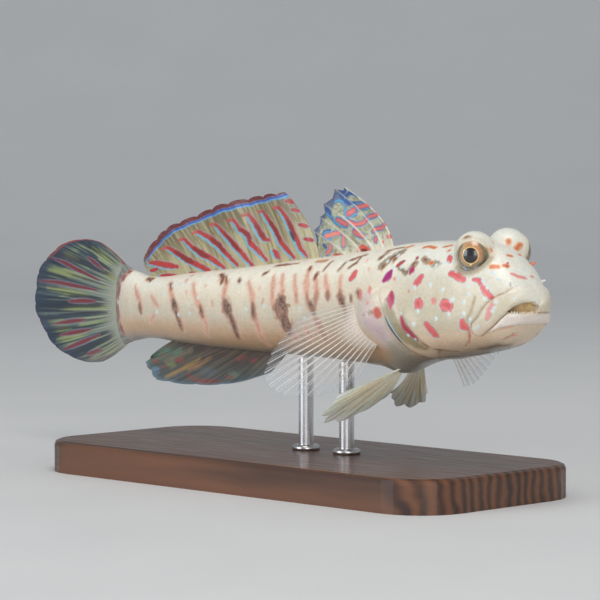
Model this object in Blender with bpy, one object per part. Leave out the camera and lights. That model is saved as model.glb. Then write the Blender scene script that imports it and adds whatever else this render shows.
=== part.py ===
"""Life-size display model of a pink-spotted watchman goby, swimming, on a plain stand.

Metres, +Z up. The origin is the middle of the stand's underside. The fish heads along +X, so its
right flank faces -Y. Shapes are drawn in millimetres on the fish itself: "back" is the distance
behind the snout along the spine, "out" the distance from the midline, to the right where
positive, and "rise" the height over the spine line.
"""

import math

import bmesh
import bpy
import numpy as np
from mathutils import Matrix, Vector

MM = 0.001

# Driving sizes, in millimetres
BODY_LENGTH = 94.0  # snout to the root of the tail fin
SPINE_HEIGHT = 28.0  # spine line over the floor
SNOUT_X = 48.0
SNOUT_Y = -1.0
GAP = 0.3  # between neighbouring pieces
HEAD_BASE = 24.6  # rear edge of the gill cover, at mid height
TRUNK_END = 62.0

# Swimming bend: heading in degrees at distances behind the snout
HEADINGS = ((-10, -5), (25, -3), (50, 1), (80, -6), (94, -12), (130, -14))

# Lines of the body: back, top, belly, half width, rise of the widest level
BODY_LINES = (
    (0.0, 1.0, 1.0, 0.0, 0.9),
    (0.5, 2.9, -1.3, 2.5, 0.5),
    (2.0, 5.2, -3.6, 4.3, 0.1),
    (4.0, 7.4, -4.8, 5.5, -0.3),
    (7.0, 9.3, -5.6, 6.3, -0.7),
    (10.0, 9.9, -6.3, 6.8, -0.9),
    (14.0, 9.8, -7.0, 7.2, -1.0),
    (19.0, 9.7, -7.7, 7.5, -0.9),
    (24.0, 9.3, -8.7, 7.5, -0.7),
    (30.0, 8.5, -9.1, 7.1, -0.6),
    (38.0, 7.3, -8.8, 6.6, -0.8),
    (48.0, 6.2, -8.5, 5.9, -1.2),
    (60.0, 4.7, -8.4, 5.0, -1.9),
    (73.0, 3.4, -8.0, 4.0, -2.3),
    (84.0, 2.4, -7.6, 2.9, -2.6),
    (90.0, 3.2, -8.4, 2.2, -2.6),
    (94.0, 4.4, -9.4, 1.5, -2.5),
    (96.0, 5.0, -10.0, 1.2, -2.5),
)
SQUARENESS = 2.25
SIDES = 40
HEAD_RINGS = 20
TRUNK_RINGS = 14
TAIL_RINGS = 12
HEAD_CROWDING = 1.7  # rings crowd towards the snout and the gill cover's rim
TRUNK_CROWDING = 1.15
PARTING_DEPTH = 5.0  # how far the head's rear face is drawn in, ahead of its rim

# Gill covers: how far the rim runs forward under the throat, and how far it stands off
GILL_SWEEP = 8.5
GILL_SWEEP_ABOVE = 1.2
GILL_LOW_TURN = 78.0  # degrees round the body where the rim starts to run forward, below and above
GILL_HIGH_TURN = 75.0
GILL_OPEN_TURN = (60.0, 90.0)  # where the rim starts to stand off, and stands off in full
GILL_FLARE = 0.4
GILL_FLARE_LONG = 3.0

# Fleshy root of the pectoral fin, a swelling on each flank
LOBE_BACK = 26.9
LOBE_RISE = -1.9
LOBE_OUT = 1.4
LOBE_LONG = 2.8
LOBE_TALL = 3.6

# Fleshy root of the pelvic fins, a swelling of the belly
STALK_BACK = 26.2
STALK_DEEP = 1.1
STALK_LONG = 2.6
STALK_TURN = 32.0  # degrees round the belly

# Eyes and the skin mounds round them
EYE_BACK = 8.75
EYE_OUT = 3.85
EYE_RISE = 8.15
EYE_RADIUS = 2.5
MOUND_BACK = 9.3
MOUND_OUT = 3.15
MOUND_RISE = 8.4
MOUND_RADIUS = 2.95

# Mouth line from the front of the snout to the corner of the jaw: back, rise
MOUTH_LINE = ((-3.0, 0.55), (0.0, 0.5), (1.8, 0.1), (3.3, -1.1), (5.7, -3.0), (7.4, -4.0), (10.0, -5.4))
MOUTH_CORNER = 7.4
UPPER_LIP = 1.2
LOWER_LIP = 0.9
LIP_SUNK = 0.55  # share of a lip's radius
LIP_FRONT = 0.65  # share of its full radius at the front of the mouth
LIP_END = 0.6  # and at its ends
LIP_STEPS = 8
UPPER_LIP_SET = 0.85  # height of the upper lip's middle over the mouth line, as a share of its radius
UPPER_LIP_PAST = 0.9  # how far it runs behind the corner
OPENING = (2.3, 2.4, 0.85)  # half depth, length and height of the parted lips on each side
OPENING_BACK = 1.3
OPENING_OUT = 2.4
OPENING_TURN = 27.0
TEETH_PER_SIDE = 6
TEETH_FROM = 0.3
TEETH_TO = 1.3
TOOTH_RADIUS = 0.27
TOOTH_HEIGHT = 0.65
TOOTH_INSET = 0.75  # behind the edge of the lip
TOOTH_ROOT = 0.9  # sunk into the jaw
TOOTH_SHRINK = 0.25  # from the front tooth to the last
TOOTH_POINT = 0.3  # radius of its tip, as a share of its foot's
JAW_HINGE_BACK = 0.6  # behind the corner of the mouth

# Nostrils: back, out, rise, tube radius, tube length
NOSTRILS = ((1.6, 2.5, 4.4, 0.3, 1.0), (4.0, 3.2, 6.5, 0.3, 0.7))

# Fin thickness: half at the ray's crest and half at the membrane, root and tip
CREST_ROOT = 0.5
CREST_TIP = 0.3
WEB_ROOT = 0.28
WEB_TIP = 0.22
RAY_HALF_WIDTH = 0.24  # share of the distance from ray to ray
ROOT_SUNK = 1.2  # depth of a fin's root before it is cut clear of the body
FIN_ROWS = 6
CUTTER_RINGS = 44

# How far the membrane stops short of the ray tips, as a share of a ray's length
FIRST_DORSAL_SCALLOP = 0.1
SECOND_DORSAL_SCALLOP = -0.02
ANAL_SCALLOP = 0.05
CAUDAL_SCALLOP = 0.03
PECTORAL_SCALLOP = 0.05
PELVIC_SCALLOP = 0.08

# First dorsal fin, one row for each spine: root back, tip back, tip rise, forward bow
FIRST_DORSAL = (
    (29.5, 39.6, 17.4, 4.8),
    (32.6, 42.1, 17.0, 3.6),
    (35.7, 43.9, 14.7, 2.6),
    (38.6, 45.1, 12.7, 1.8),
    (41.3, 45.9, 10.6, 1.0),
    (43.8, 45.8, 8.4, 0.3),
)
FIRST_DORSAL_PLEAT = 0.25

# Margins of the soft fins: tip back and tip rise, from the first ray to the last
SECOND_DORSAL_ROOTS = (46.3, 81.5)
SECOND_DORSAL_TIPS = ((52.0, 16.4), (59.0, 15.7), (67.0, 14.3), (75.0, 12.0), (82.5, 9.5), (87.2, 5.4))
SECOND_DORSAL_RAYS = 11
SECOND_DORSAL_BOW = 1.2
ANAL_ROOTS = (51.0, 79.5)
ANAL_TIPS = ((55.5, -11.6), (61.0, -13.2), (68.5, -14.3), (75.5, -14.6), (82.0, -13.9), (85.7, -11.4))
ANAL_RAYS = 10
ANAL_BOW = 0.6
MARGIN_WAVE = (0.3, 2.1)  # sway of the ray tips to the sides, and its turn from ray to ray in radians

# Tail fin: an ellipse of ray tips round a point behind the body
CAUDAL_RAYS = 15
CAUDAL_CENTRE_BACK = 106.5
CAUDAL_CENTRE_RISE = -2.5
CAUDAL_LONG = 19.2
CAUDAL_TALL = 10.4
CAUDAL_SPREAD = 106.0
CAUDAL_ROOT_TALL = 6.3
CAUDAL_BOW = 0.9
CAUDAL_WAVE = (0.35, 2.4)

# Pectoral fins: degrees below the level and length at even stations from the top ray to the lowest
PECTORAL_FANS = {
    "right": (
        (13.5, 9.2), (20.5, 13.0), (26.5, 16.2), (32.0, 17.8), (38.5, 17.0), (46.5, 14.1), (54.5, 11.0), (66.5, 6.2)
    ),
    "left": (
        (-2.0, 9.2), (4.0, 13.0), (11.0, 16.6), (19.5, 17.2), (29.5, 14.2), (41.0, 11.9), (53.0, 10.4), (66.0, 8.7)
    ),
}
PECTORAL_RAYS = 14
PECTORAL_ROOT_TOP = (29.2, 0.8)
PECTORAL_ROOT_FOOT = (25.5, -4.7)
PECTORAL_SPLAY = {"right": (18.0, 36.0), "left": (68.0, 92.0)}  # top ray, lowest ray
PECTORAL_BOW = 0.7

# Pelvic fins: splay from the midline, droop and length, from the outer ray to the inner
PELVIC_FAN = (
    (40.0, 29.0, 9.4),
    (41.0, 33.0, 11.8),
    (38.0, 34.0, 14.2),
    (34.0, 37.5, 13.4),
    (22.0, 44.0, 10.0),
    (3.0, 50.0, 6.2),
)
PELVIC_ROOT_BACK = (25.9, 26.9)
PELVIC_ROOT_OUT = (3.1, 0.85)
PELVIC_ROOT_DEEP = 0.6  # height of the roots on the fleshy stalk, as a share of its depth
PELVIC_BOW = 0.5

# Stand
BASE_LONG = 84.0
BASE_WIDE = 36.0
BASE_THICK = 5.0
BASE_CORNER = 8.0
BASE_EDGE = 0.8
ROD_RADIUS = 1.15
ROD_BACKS = {"front": 39.2, "rear": 47.8}
ROD_SINK = 2.5  # how far a rod reaches up before it is cut clear of the belly


def smooth_curve(places, values):
    """A smooth curve through the points that never swings past them."""
    x = np.asarray(places, float)
    y = np.asarray(values, float)
    slope = np.diff(y) / np.diff(x)
    tangent = np.concatenate([slope[:1], np.zeros(len(x) - 2), slope[-1:]])
    product = slope[:-1] * slope[1:]
    same_way = product > 0
    total = np.where(same_way, slope[:-1] + slope[1:], 1.0)
    tangent[1:-1] = np.where(same_way, 2 * product / total, 0.0)

    def at(place):
        place = np.clip(place, x[0], x[-1])
        i = np.clip(np.searchsorted(x, place) - 1, 0, len(x) - 2)
        span = x[i + 1] - x[i]
        t = (place - x[i]) / span
        start = y[i] * (1 + 2 * t) * (1 - t) ** 2 + tangent[i] * span * t * (1 - t) ** 2
        end = y[i + 1] * t * t * (3 - 2 * t) - tangent[i + 1] * span * t * t * (1 - t)
        return start + end

    return at


def body_line(column):
    """One column of BODY_LINES as a curve. Square roots round the snout off."""
    curve = smooth_curve([math.sqrt(row[0]) for row in BODY_LINES], [row[column] for row in BODY_LINES])
    return lambda back: float(curve(math.sqrt(max(back, 0.0))))


TOP, BELLY, HALF_WIDTH, WIDEST = (body_line(column) for column in (1, 2, 3, 4))
HEADING = smooth_curve(*zip(*HEADINGS))
SPINE_STEP = 0.25
SPINE_BACKS = np.arange(-10.0, 130.0, SPINE_STEP)
SPINE_TURN = np.radians(HEADING(SPINE_BACKS + SPINE_STEP / 2))
SPINE_X = -np.concatenate([[0.0], np.cumsum(np.cos(SPINE_TURN))[:-1]]) * SPINE_STEP
SPINE_Y = -np.concatenate([[0.0], np.cumsum(np.sin(SPINE_TURN))[:-1]]) * SPINE_STEP
SPINE_X += SNOUT_X - np.interp(0.0, SPINE_BACKS, SPINE_X)
SPINE_Y += SNOUT_Y - np.interp(0.0, SPINE_BACKS, SPINE_Y)


def forward_at(back):
    turn = math.radians(float(HEADING(back)))
    return Vector((math.cos(turn), math.sin(turn), 0.0))


def right_at(back):
    ahead = forward_at(back)
    return Vector((ahead.y, -ahead.x, 0.0))


def place(back, out, rise):
    """World point, in metres, of a point drawn on the fish in millimetres."""
    x = float(np.interp(back, SPINE_BACKS, SPINE_X))
    y = float(np.interp(back, SPINE_BACKS, SPINE_Y))
    spine = Vector((x, y, SPINE_HEIGHT + rise))
    return (spine + right_at(back) * out) * MM


def lobe_swelling(back, rise):
    """Extra half width of the flank at the fleshy root of the pectoral fin."""
    along = (back - LOBE_BACK) / LOBE_LONG
    across = (rise - LOBE_RISE) / LOBE_TALL
    return LOBE_OUT * math.exp(-along * along - across * across)


def stalk_swelling(back, angle):
    """Extra depth of the belly at the fleshy root of the pelvic fins."""
    along = (back - STALK_BACK) / STALK_LONG
    across = (180.0 - abs(math.degrees(angle))) / STALK_TURN
    return STALK_DEEP * math.exp(-along * along - across * across)


def skin_point(back, angle, swell=0.0):
    """Point of the skin. The angle runs from 0 on the back's ridge over the right flank."""
    side = math.sin(angle)
    height = math.cos(angle)
    power = 2 / SQUARENESS
    widest = WIDEST(back)
    reach = (TOP(back) - widest if height > 0 else widest - BELLY(back)) + swell
    rise = widest + math.copysign(reach * abs(height) ** power, height)
    half = HALF_WIDTH(back) + swell + lobe_swelling(back, rise)
    out = math.copysign(half * abs(side) ** power, side)
    return place(back, out, rise - stalk_swelling(back, angle))


def flank_out(back, rise):
    """Half width of the body at a level, without the lobe."""
    widest = WIDEST(back)
    reach = TOP(back) - widest if rise > widest else widest - BELLY(back)
    share = min(abs(rise - widest) / max(reach, 1e-6), 1.0)
    return HALF_WIDTH(back) * (1 - share**SQUARENESS) ** (1 / SQUARENESS)


def gill_edge(angle):
    """How far back the head reaches: the gill cover's rim, which runs forward under the throat."""
    turn = abs(math.degrees(angle))
    below = max(turn - GILL_LOW_TURN, 0.0) / (180.0 - GILL_LOW_TURN)
    above = max(GILL_HIGH_TURN - turn, 0.0) / GILL_HIGH_TURN
    return HEAD_BASE - GILL_SWEEP * below - GILL_SWEEP_ABOVE * above


def gill_flare(angle, from_rim):
    """How far the gill cover stands off the body at a distance from its rim."""
    turn = abs(math.degrees(angle))
    closed, opened = GILL_OPEN_TURN
    open_share = min(max((turn - closed) / (opened - closed), 0.0), 1.0)
    near_rim = max(1.0 - abs(from_rim) / GILL_FLARE_LONG, 0.0)
    return GILL_FLARE * open_share * near_rim**2


def make_material(name, colour, roughness, metallic=0.0):
    material = bpy.data.materials.new(name)
    material.use_nodes = True
    shader = material.node_tree.nodes["Principled BSDF"]
    shader.inputs["Base Color"].default_value = (*colour, 1.0)
    shader.inputs["Roughness"].default_value = roughness
    shader.inputs["Metallic"].default_value = metallic
    return material


def new_object(name, bm, collection):
    bmesh.ops.recalc_face_normals(bm, faces=bm.faces)
    mesh = bpy.data.meshes.new(name)
    bm.to_mesh(mesh)
    bm.free()
    made = bpy.data.objects.new(name, mesh)
    collection.objects.link(made)
    return made


def loft(name, rings, first, last, collection):
    """A closed skin over rings of like points, drawn in to a point at each end."""
    bm = bmesh.new()
    rows = [[bm.verts.new(point) for point in ring] for ring in rings]
    count = len(rows[0])
    for near, far in zip(rows, rows[1:]):
        for i in range(count):
            j = (i + 1) % count
            bm.faces.new((near[i], near[j], far[j], far[i]))
    for point, ring in ((first, rows[0]), (last, rows[-1])):
        centre = bm.verts.new(point)
        for i in range(count):
            bm.faces.new((centre, ring[i], ring[(i + 1) % count]))
    return new_object(name, bm, collection)


def ring_angles():
    return [2 * math.pi * i / SIDES - math.pi for i in range(SIDES)]


def tube(name, points, radii, collection, sides=2):
    """A closed round tube along points in metres, with a radius in millimetres at each."""
    curve = bpy.data.curves.new(name, "CURVE")
    curve.dimensions = "3D"
    curve.bevel_depth = MM
    curve.bevel_resolution = sides
    curve.use_fill_caps = True
    spline = curve.splines.new("POLY")
    spline.points.add(len(points) - 1)
    for knot, point, radius in zip(spline.points, points, radii):
        knot.co = (*point, 1.0)
        knot.radius = radius
    guide = bpy.data.objects.new(name, curve)
    collection.objects.link(guide)
    bpy.context.view_layer.update()
    graph = bpy.context.evaluated_depsgraph_get()
    bm = bmesh.new()
    bm.from_mesh(bpy.data.meshes.new_from_object(guide.evaluated_get(graph)))
    bmesh.ops.remove_doubles(bm, verts=bm.verts, dist=1e-7)
    bpy.data.objects.remove(guide)
    return new_object(name, bm, collection)


def ball(name, centre, radius, collection, segments=20, scale=(1.0, 1.0, 1.0)):
    """An ellipsoid at a point in metres, with its radius in millimetres."""
    bm = bmesh.new()
    bmesh.ops.create_uvsphere(bm, u_segments=segments, v_segments=segments * 3 // 5, radius=radius * MM)
    bmesh.ops.scale(bm, vec=scale, verts=bm.verts)
    bmesh.ops.translate(bm, vec=centre, verts=bm.verts)
    return new_object(name, bm, collection)


def keep_largest(made):
    """Leaves only the largest closed surface of an object."""
    bm = bmesh.new()
    bm.from_mesh(made.data)
    unseen = set(bm.verts)
    islands = []
    while unseen:
        island = {unseen.pop()}
        edge_of_island = list(island)
        while edge_of_island:
            vertex = edge_of_island.pop()
            for edge in vertex.link_edges:
                other = edge.other_vert(vertex)
                if other in unseen:
                    unseen.remove(other)
                    island.add(other)
                    edge_of_island.append(other)
        islands.append(island)
    islands.sort(key=len)
    for island in islands[:-1]:
        bmesh.ops.delete(bm, geom=list(island), context="VERTS")
    bm.to_mesh(made.data)
    bm.free()


def combine(made, pieces, operation, solver="EXACT"):
    """Applies one Boolean of an object with closed pieces, and removes the pieces."""
    group = bpy.data.collections.new(f"{made.name}_{operation.lower()}")
    bpy.context.scene.collection.children.link(group)
    for piece in pieces:
        group.objects.link(piece)
    modifier = made.modifiers.new("Combine", "BOOLEAN")
    modifier.operation = operation
    modifier.operand_type = "COLLECTION"
    modifier.collection = group
    modifier.solver = solver
    bpy.context.view_layer.update()
    graph = bpy.context.evaluated_depsgraph_get()
    mesh = bpy.data.meshes.new_from_object(made.evaluated_get(graph))
    made.modifiers.clear()
    made.data = mesh
    for piece in pieces:
        bpy.data.objects.remove(piece)
    bpy.data.collections.remove(group)
    keep_largest(made)


def copy_of(made, name, collection):
    twin = bpy.data.objects.new(name, made.data.copy())
    collection.objects.link(twin)
    return twin


def body_cutter(name, collection):
    """The whole body grown by the gap, which trims fins and rods clear of it."""
    angles = ring_angles()
    backs = [BODY_LENGTH * (i / CUTTER_RINGS) ** 1.3 for i in range(1, CUTTER_RINGS + 1)]
    backs[-1] = BODY_LENGTH + GAP
    rings = [[skin_point(back, angle, GAP) for angle in angles] for back in backs]
    nose = place(-GAP, 0.0, TOP(0.0))
    return loft(name, rings, nose, place(backs[-1], 0.0, WIDEST(backs[-1])), collection)


def head_loft(collection):
    """The plain form of the head, from the snout to the rim of the gill covers."""
    angles = ring_angles()
    rings = []
    for i in range(1, HEAD_RINGS + 1):
        ring = []
        for angle in angles:
            back = gill_edge(angle) * (i / HEAD_RINGS) ** HEAD_CROWDING
            ring.append(skin_point(back, angle, gill_flare(angle, gill_edge(angle) - back)))
        rings.append(ring)
    inner = HEAD_BASE - PARTING_DEPTH
    return loft("head", rings, place(0.0, 0.0, TOP(0.0)), place(inner, 0.0, WIDEST(inner)), collection)


MOUTH_CURVE = smooth_curve(*zip(*MOUTH_LINE))


def mouth_rise(back):
    return float(MOUTH_CURVE(back))


def lip_points(offset, sunk, rear):
    """Points along a lip from its rear end on the right round the front to that on the left."""
    backs = [rear * (i / LIP_STEPS) ** 1.8 for i in range(LIP_STEPS, 0, -1)]
    flank = [(back, max(flank_out(back, mouth_rise(back)) - sunk, 0.0)) for back in backs]
    middle = [(sunk, 0.0)]
    path = flank + middle + [(back, -out) for back, out in reversed(flank)]
    return [place(back + sunk * 0.4, out, mouth_rise(back) + offset) for back, out in path]


def lip(name, offset, radius, rear, collection):
    """A rounded roll along the mouth, thinner at the front and blunt at its ends."""
    points = lip_points(offset, radius * LIP_SUNK, rear)
    middle = len(points) // 2
    fullness = [min(1.0, abs(i - middle) / (LIP_STEPS - 3)) for i in range(len(points))]
    radii = [radius * (LIP_FRONT + (1.0 - LIP_FRONT) * full) for full in fullness]
    radii[0] = radii[-1] = radius * LIP_END
    return tube(name, points, radii, collection)


def nostril(name, side, row, collection):
    """A short tube that stands on the snout and leans forward and out."""
    back, out, rise, radius, length = row
    foot = place(back + length * 0.5, side * (out - 0.5), rise - 0.5)
    tip = place(back - length * 0.5, side * (out + length * 0.5), rise + length * 0.25)
    return tube(name, [foot, foot.lerp(tip, 0.6), tip], [radius, radius, radius * 0.8], collection, 1)


def jaw_block(name, grown, collection):
    """A block whose top follows the mouth and whose rear edge is the jaw's hinge line."""
    rear = MOUTH_CORNER + JAW_HINGE_BACK + grown
    backs = [-3.0, 0.0, 0.9, 1.8, 2.6, 3.3, 4.5, 5.7, rear]
    outline = [(back, mouth_rise(back) + grown) for back in backs] + [(rear + 2.2, -12.0), (-3.0, -12.0)]
    half = 12.0
    bm = bmesh.new()
    rows = []
    for side in (1, -1):
        turn = MOUTH_CORNER / 2
        shift = right_at(turn) * (half * side * MM)
        rows.append([bm.verts.new(place(back, 0.0, rise) + shift) for back, rise in outline])
    for i in range(len(outline)):
        j = (i + 1) % len(outline)
        bm.faces.new((rows[0][i], rows[0][j], rows[1][j], rows[1][i]))
    bm.faces.new(rows[0])
    bm.faces.new(reversed(rows[1]))
    return new_object(name, bm, collection)


def mouth_gap(name, side, collection):
    """A lens that opens the lips on one side of the front of the mouth."""
    centre = place(OPENING_BACK, side * OPENING_OUT, mouth_rise(OPENING_BACK) + OPENING[2] * 0.55)
    made = ball(name, (0, 0, 0), 1.0, collection, 16, OPENING)
    ahead = forward_at(OPENING_BACK)
    spin = Matrix.Rotation(math.atan2(ahead.y, ahead.x) - side * math.radians(OPENING_TURN), 4, "Z")
    made.data.transform(Matrix.Translation(centre) @ spin)
    return made


def tooth(name, side, share, collection):
    """A small cone on the rim of the lower jaw, inside the open part of the mouth."""
    edge = TEETH_FROM + (TEETH_TO - TEETH_FROM) * share
    back = edge + TOOTH_INSET
    out = flank_out(edge, mouth_rise(edge)) - TOOTH_INSET
    root = place(back, side * out, mouth_rise(back) - TOOTH_ROOT)
    size = 1.0 - TOOTH_SHRINK * share
    tip = root + Vector((0, 0, (TOOTH_HEIGHT * size + TOOTH_ROOT) * MM))
    bm = bmesh.new()
    length = (tip - root).length
    foot_radius = TOOTH_RADIUS * MM
    tip_radius = foot_radius * TOOTH_POINT
    bmesh.ops.create_cone(
        bm, cap_ends=True, segments=6, radius1=foot_radius, radius2=tip_radius, depth=length
    )
    bmesh.ops.translate(bm, vec=(root + tip) / 2, verts=bm.verts)
    return new_object(name, bm, collection)


def build_head(collection):
    """Head and lower jaw: one form with mounds, lips and nostrils, parted by a thin cut."""
    head = head_loft(collection)
    pieces = [
        lip("upper_lip", UPPER_LIP * UPPER_LIP_SET, UPPER_LIP, MOUTH_CORNER + UPPER_LIP_PAST, collection),
        lip("lower_lip", -LOWER_LIP, LOWER_LIP, MOUTH_CORNER, collection),
    ]
    for side in (1, -1):
        mound = place(MOUND_BACK, side * MOUND_OUT, MOUND_RISE)
        pieces.append(ball(f"mound{side}", mound, MOUND_RADIUS, collection, 24))
        pieces += [nostril(f"nostril{i}{side}", side, row, collection) for i, row in enumerate(NOSTRILS)]
    combine(head, pieces, "UNION")
    sockets = [
        ball(f"socket{side}", place(EYE_BACK, side * EYE_OUT, EYE_RISE), EYE_RADIUS + GAP, collection, 24)
        for side in (1, -1)
    ]
    combine(head, sockets + [mouth_gap(f"gap{side}", side, collection) for side in (1, -1)], "DIFFERENCE")
    jaw = copy_of(head, "lower_jaw", collection)
    combine(head, [jaw_block("above", GAP / 2, collection)], "DIFFERENCE")
    combine(jaw, [jaw_block("below", -GAP / 2, collection)], "INTERSECT")
    shares = [i / (TEETH_PER_SIDE - 1) for i in range(TEETH_PER_SIDE)]
    teeth = [tooth(f"tooth{side}{i}", side, share, collection) for side in (1, -1) for i, share in enumerate(shares)]
    combine(jaw, teeth, "UNION")
    return head, jaw


def build_trunk(collection):
    """From behind the gill covers to the middle of the soft dorsal fin."""
    angles = ring_angles()
    rings = []
    for i in range(TRUNK_RINGS):
        share = (i / (TRUNK_RINGS - 1)) ** TRUNK_CROWDING
        ring = []
        for angle in angles:
            start = gill_edge(angle) + GAP * 1.3
            back = start + (TRUNK_END - start) * share
            ring.append(skin_point(back, angle, -gill_flare(angle, back - start)))
        rings.append(ring)
    inner = HEAD_BASE - PARTING_DEPTH + GAP * 1.3
    front = place(inner, 0.0, WIDEST(inner))
    return loft("trunk", rings, front, place(TRUNK_END, 0.0, WIDEST(TRUNK_END)), collection)


def build_tail_stalk(collection):
    """The narrow rear of the body, from the trunk to the root of the tail fin."""
    start = TRUNK_END + GAP
    backs = [start + (BODY_LENGTH - start) * i / (TAIL_RINGS - 1) for i in range(TAIL_RINGS)]
    rings = [[skin_point(back, angle) for angle in ring_angles()] for back in backs]
    ends = [place(back, 0.0, WIDEST(back)) for back in (start, BODY_LENGTH)]
    return loft("tail_stalk", rings, ends[0], ends[1], collection)


def bowed(root, tip, bow):
    """Points in equal steps on a gentle bend from root to tip."""
    middle = (root + tip) / 2 + bow
    steps = [i / FIN_ROWS for i in range(FIN_ROWS + 1)]
    return [root * (1 - t) ** 2 + middle * 2 * t * (1 - t) + tip * t * t for t in steps]


def fin(name, rays, scallop, collection):
    """A closed membrane over the rays, each of which stands up as a ridge on both faces.

    A ray is a list of points from root to tip. Scallop is the share of a ray's length by which
    the membrane between two rays stops short of their tips, or passes them where negative.
    """
    last = len(rays) - 1
    columns = []
    for i in range(len(rays)):
        columns += [(i + shift, shift == 0.0) for shift in (-RAY_HALF_WIDTH, 0.0, RAY_HALF_WIDTH)]
    columns = [(u, crest) for u, crest in columns if 0 <= u <= last]
    middle, thick = [], []
    for u, crest in columns:
        i = min(int(u), last - 1)
        share = u - i
        reach = 1.0 if crest else 1.0 - scallop
        line, widths = [], []
        for row in range(FIN_ROWS + 1):
            along = row / FIN_ROWS
            point = rays[i][row].lerp(rays[i + 1][row], share)
            if row == FIN_ROWS:
                before = rays[i][row - 1].lerp(rays[i + 1][row - 1], share)
                point = before + (point - before) * (1 - (1 - reach) * FIN_ROWS)
            root, tip = (CREST_ROOT, CREST_TIP) if crest else (WEB_ROOT, WEB_TIP)
            line.append(point)
            widths.append((root + (tip - root) * along) * MM)
        middle.append(line)
        thick.append(widths)
    grid = np.array(middle)
    across = np.gradient(grid, axis=0)
    along = np.gradient(grid, axis=1)
    normal = np.cross(across, along)
    normal /= np.linalg.norm(normal, axis=2, keepdims=True)
    offset = normal * np.array(thick)[:, :, None]
    bm = bmesh.new()
    faces = [[[bm.verts.new(p) for p in line] for line in grid + offset * sign] for sign in (1, -1)]
    wide, tall = grid.shape[:2]
    for side in faces:
        for i in range(wide - 1):
            for j in range(tall - 1):
                bm.faces.new((side[i][j], side[i + 1][j], side[i + 1][j + 1]))
                bm.faces.new((side[i][j], side[i + 1][j + 1], side[i][j + 1]))
    rim = [(i, 0) for i in range(wide)] + [(wide - 1, j) for j in range(1, tall)]
    rim += [(i, tall - 1) for i in range(wide - 2, -1, -1)] + [(0, j) for j in range(tall - 2, 0, -1)]
    for (a, b), (c, d) in zip(rim, rim[1:] + rim[:1]):
        bm.faces.new((faces[0][a][b], faces[0][c][d], faces[1][c][d], faces[1][a][b]))
    return new_object(name, bm, collection)


def build_first_dorsal(collection):
    rays = []
    for i, (root_back, tip_back, tip_rise, bow) in enumerate(FIRST_DORSAL):
        pleat = FIRST_DORSAL_PLEAT * (-1) ** i
        root = place(root_back, 0.0, TOP(root_back) - ROOT_SUNK)
        tip = place(tip_back, pleat, tip_rise)
        rays.append(bowed(root, tip, forward_at(root_back) * (bow * MM)))
    return fin("first_dorsal_fin", rays, FIRST_DORSAL_SCALLOP, collection)


def margin_rays(roots, tips, count, ridge, sunk, bow):
    """Rays from evenly spaced roots on a ridge of the body to tips spaced along a margin."""
    place_of_tip = smooth_curve([i / (len(tips) - 1) for i in range(len(tips))], [tip[0] for tip in tips])
    rise_of_tip = smooth_curve([i / (len(tips) - 1) for i in range(len(tips))], [tip[1] for tip in tips])
    sway, step = MARGIN_WAVE
    rays = []
    for i in range(count):
        share = i / (count - 1)
        root_back = roots[0] + (roots[1] - roots[0]) * share
        root = place(root_back, 0.0, ridge(root_back) + sunk)
        tip = place(float(place_of_tip(share)), sway * math.sin(step * i), float(rise_of_tip(share)))
        rays.append(bowed(root, tip, forward_at(root_back) * (bow * MM)))
    return rays


def build_second_dorsal(collection):
    tips, count, bow = SECOND_DORSAL_TIPS, SECOND_DORSAL_RAYS, SECOND_DORSAL_BOW
    rays = margin_rays(SECOND_DORSAL_ROOTS, tips, count, TOP, -ROOT_SUNK, bow)
    return fin("second_dorsal_fin", rays, SECOND_DORSAL_SCALLOP, collection)


def build_anal(collection):
    rays = margin_rays(ANAL_ROOTS, ANAL_TIPS, ANAL_RAYS, BELLY, ROOT_SUNK, ANAL_BOW)
    return fin("anal_fin", rays, ANAL_SCALLOP, collection)


def build_caudal(collection):
    sway, step = CAUDAL_WAVE
    rays = []
    for i in range(CAUDAL_RAYS):
        across = 1 - 2 * i / (CAUDAL_RAYS - 1)
        turn = math.radians(CAUDAL_SPREAD * across)
        root = place(BODY_LENGTH - ROOT_SUNK, 0.0, WIDEST(BODY_LENGTH) + CAUDAL_ROOT_TALL * across)
        tip_back = CAUDAL_CENTRE_BACK + CAUDAL_LONG * math.cos(turn)
        tip = place(tip_back, sway * math.cos(step * i), CAUDAL_CENTRE_RISE + CAUDAL_TALL * math.sin(turn))
        rays.append(bowed(root, tip, Vector((0, 0, across * CAUDAL_BOW * MM))))
    return fin("caudal_fin", rays, CAUDAL_SCALLOP, collection)


def build_pectoral(side_name, collection):
    """A fan of rays from the fleshy lobe on the flank, held out at its own splay."""
    side = 1 if side_name == "right" else -1
    fan = PECTORAL_FANS[side_name]
    stations = [i / (len(fan) - 1) for i in range(len(fan))]
    droop_at = smooth_curve(stations, [row[0] for row in fan])
    length_at = smooth_curve(stations, [row[1] for row in fan])
    splay_top, splay_foot = PECTORAL_SPLAY[side_name]
    rays = []
    for i in range(PECTORAL_RAYS):
        share = i / (PECTORAL_RAYS - 1)
        back, rise = (a + (b - a) * share for a, b in zip(PECTORAL_ROOT_TOP, PECTORAL_ROOT_FOOT))
        surface = flank_out(back, rise) + lobe_swelling(back, rise)
        root = place(back, side * (surface - ROOT_SUNK), rise)
        splay = math.radians(splay_top + (splay_foot - splay_top) * share)
        level = -forward_at(LOBE_BACK) * math.cos(splay) + right_at(LOBE_BACK) * (side * math.sin(splay))
        droop = math.radians(float(droop_at(share)))
        way = level * math.cos(droop) - Vector((0, 0, math.sin(droop)))
        tip = place(back, side * surface, rise) + way * (float(length_at(share)) * MM)
        rays.append(bowed(root, tip, right_at(back) * (side * PECTORAL_BOW * MM)))
    return fin(f"pectoral_fin_{side_name}", rays, PECTORAL_SCALLOP, collection)


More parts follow.
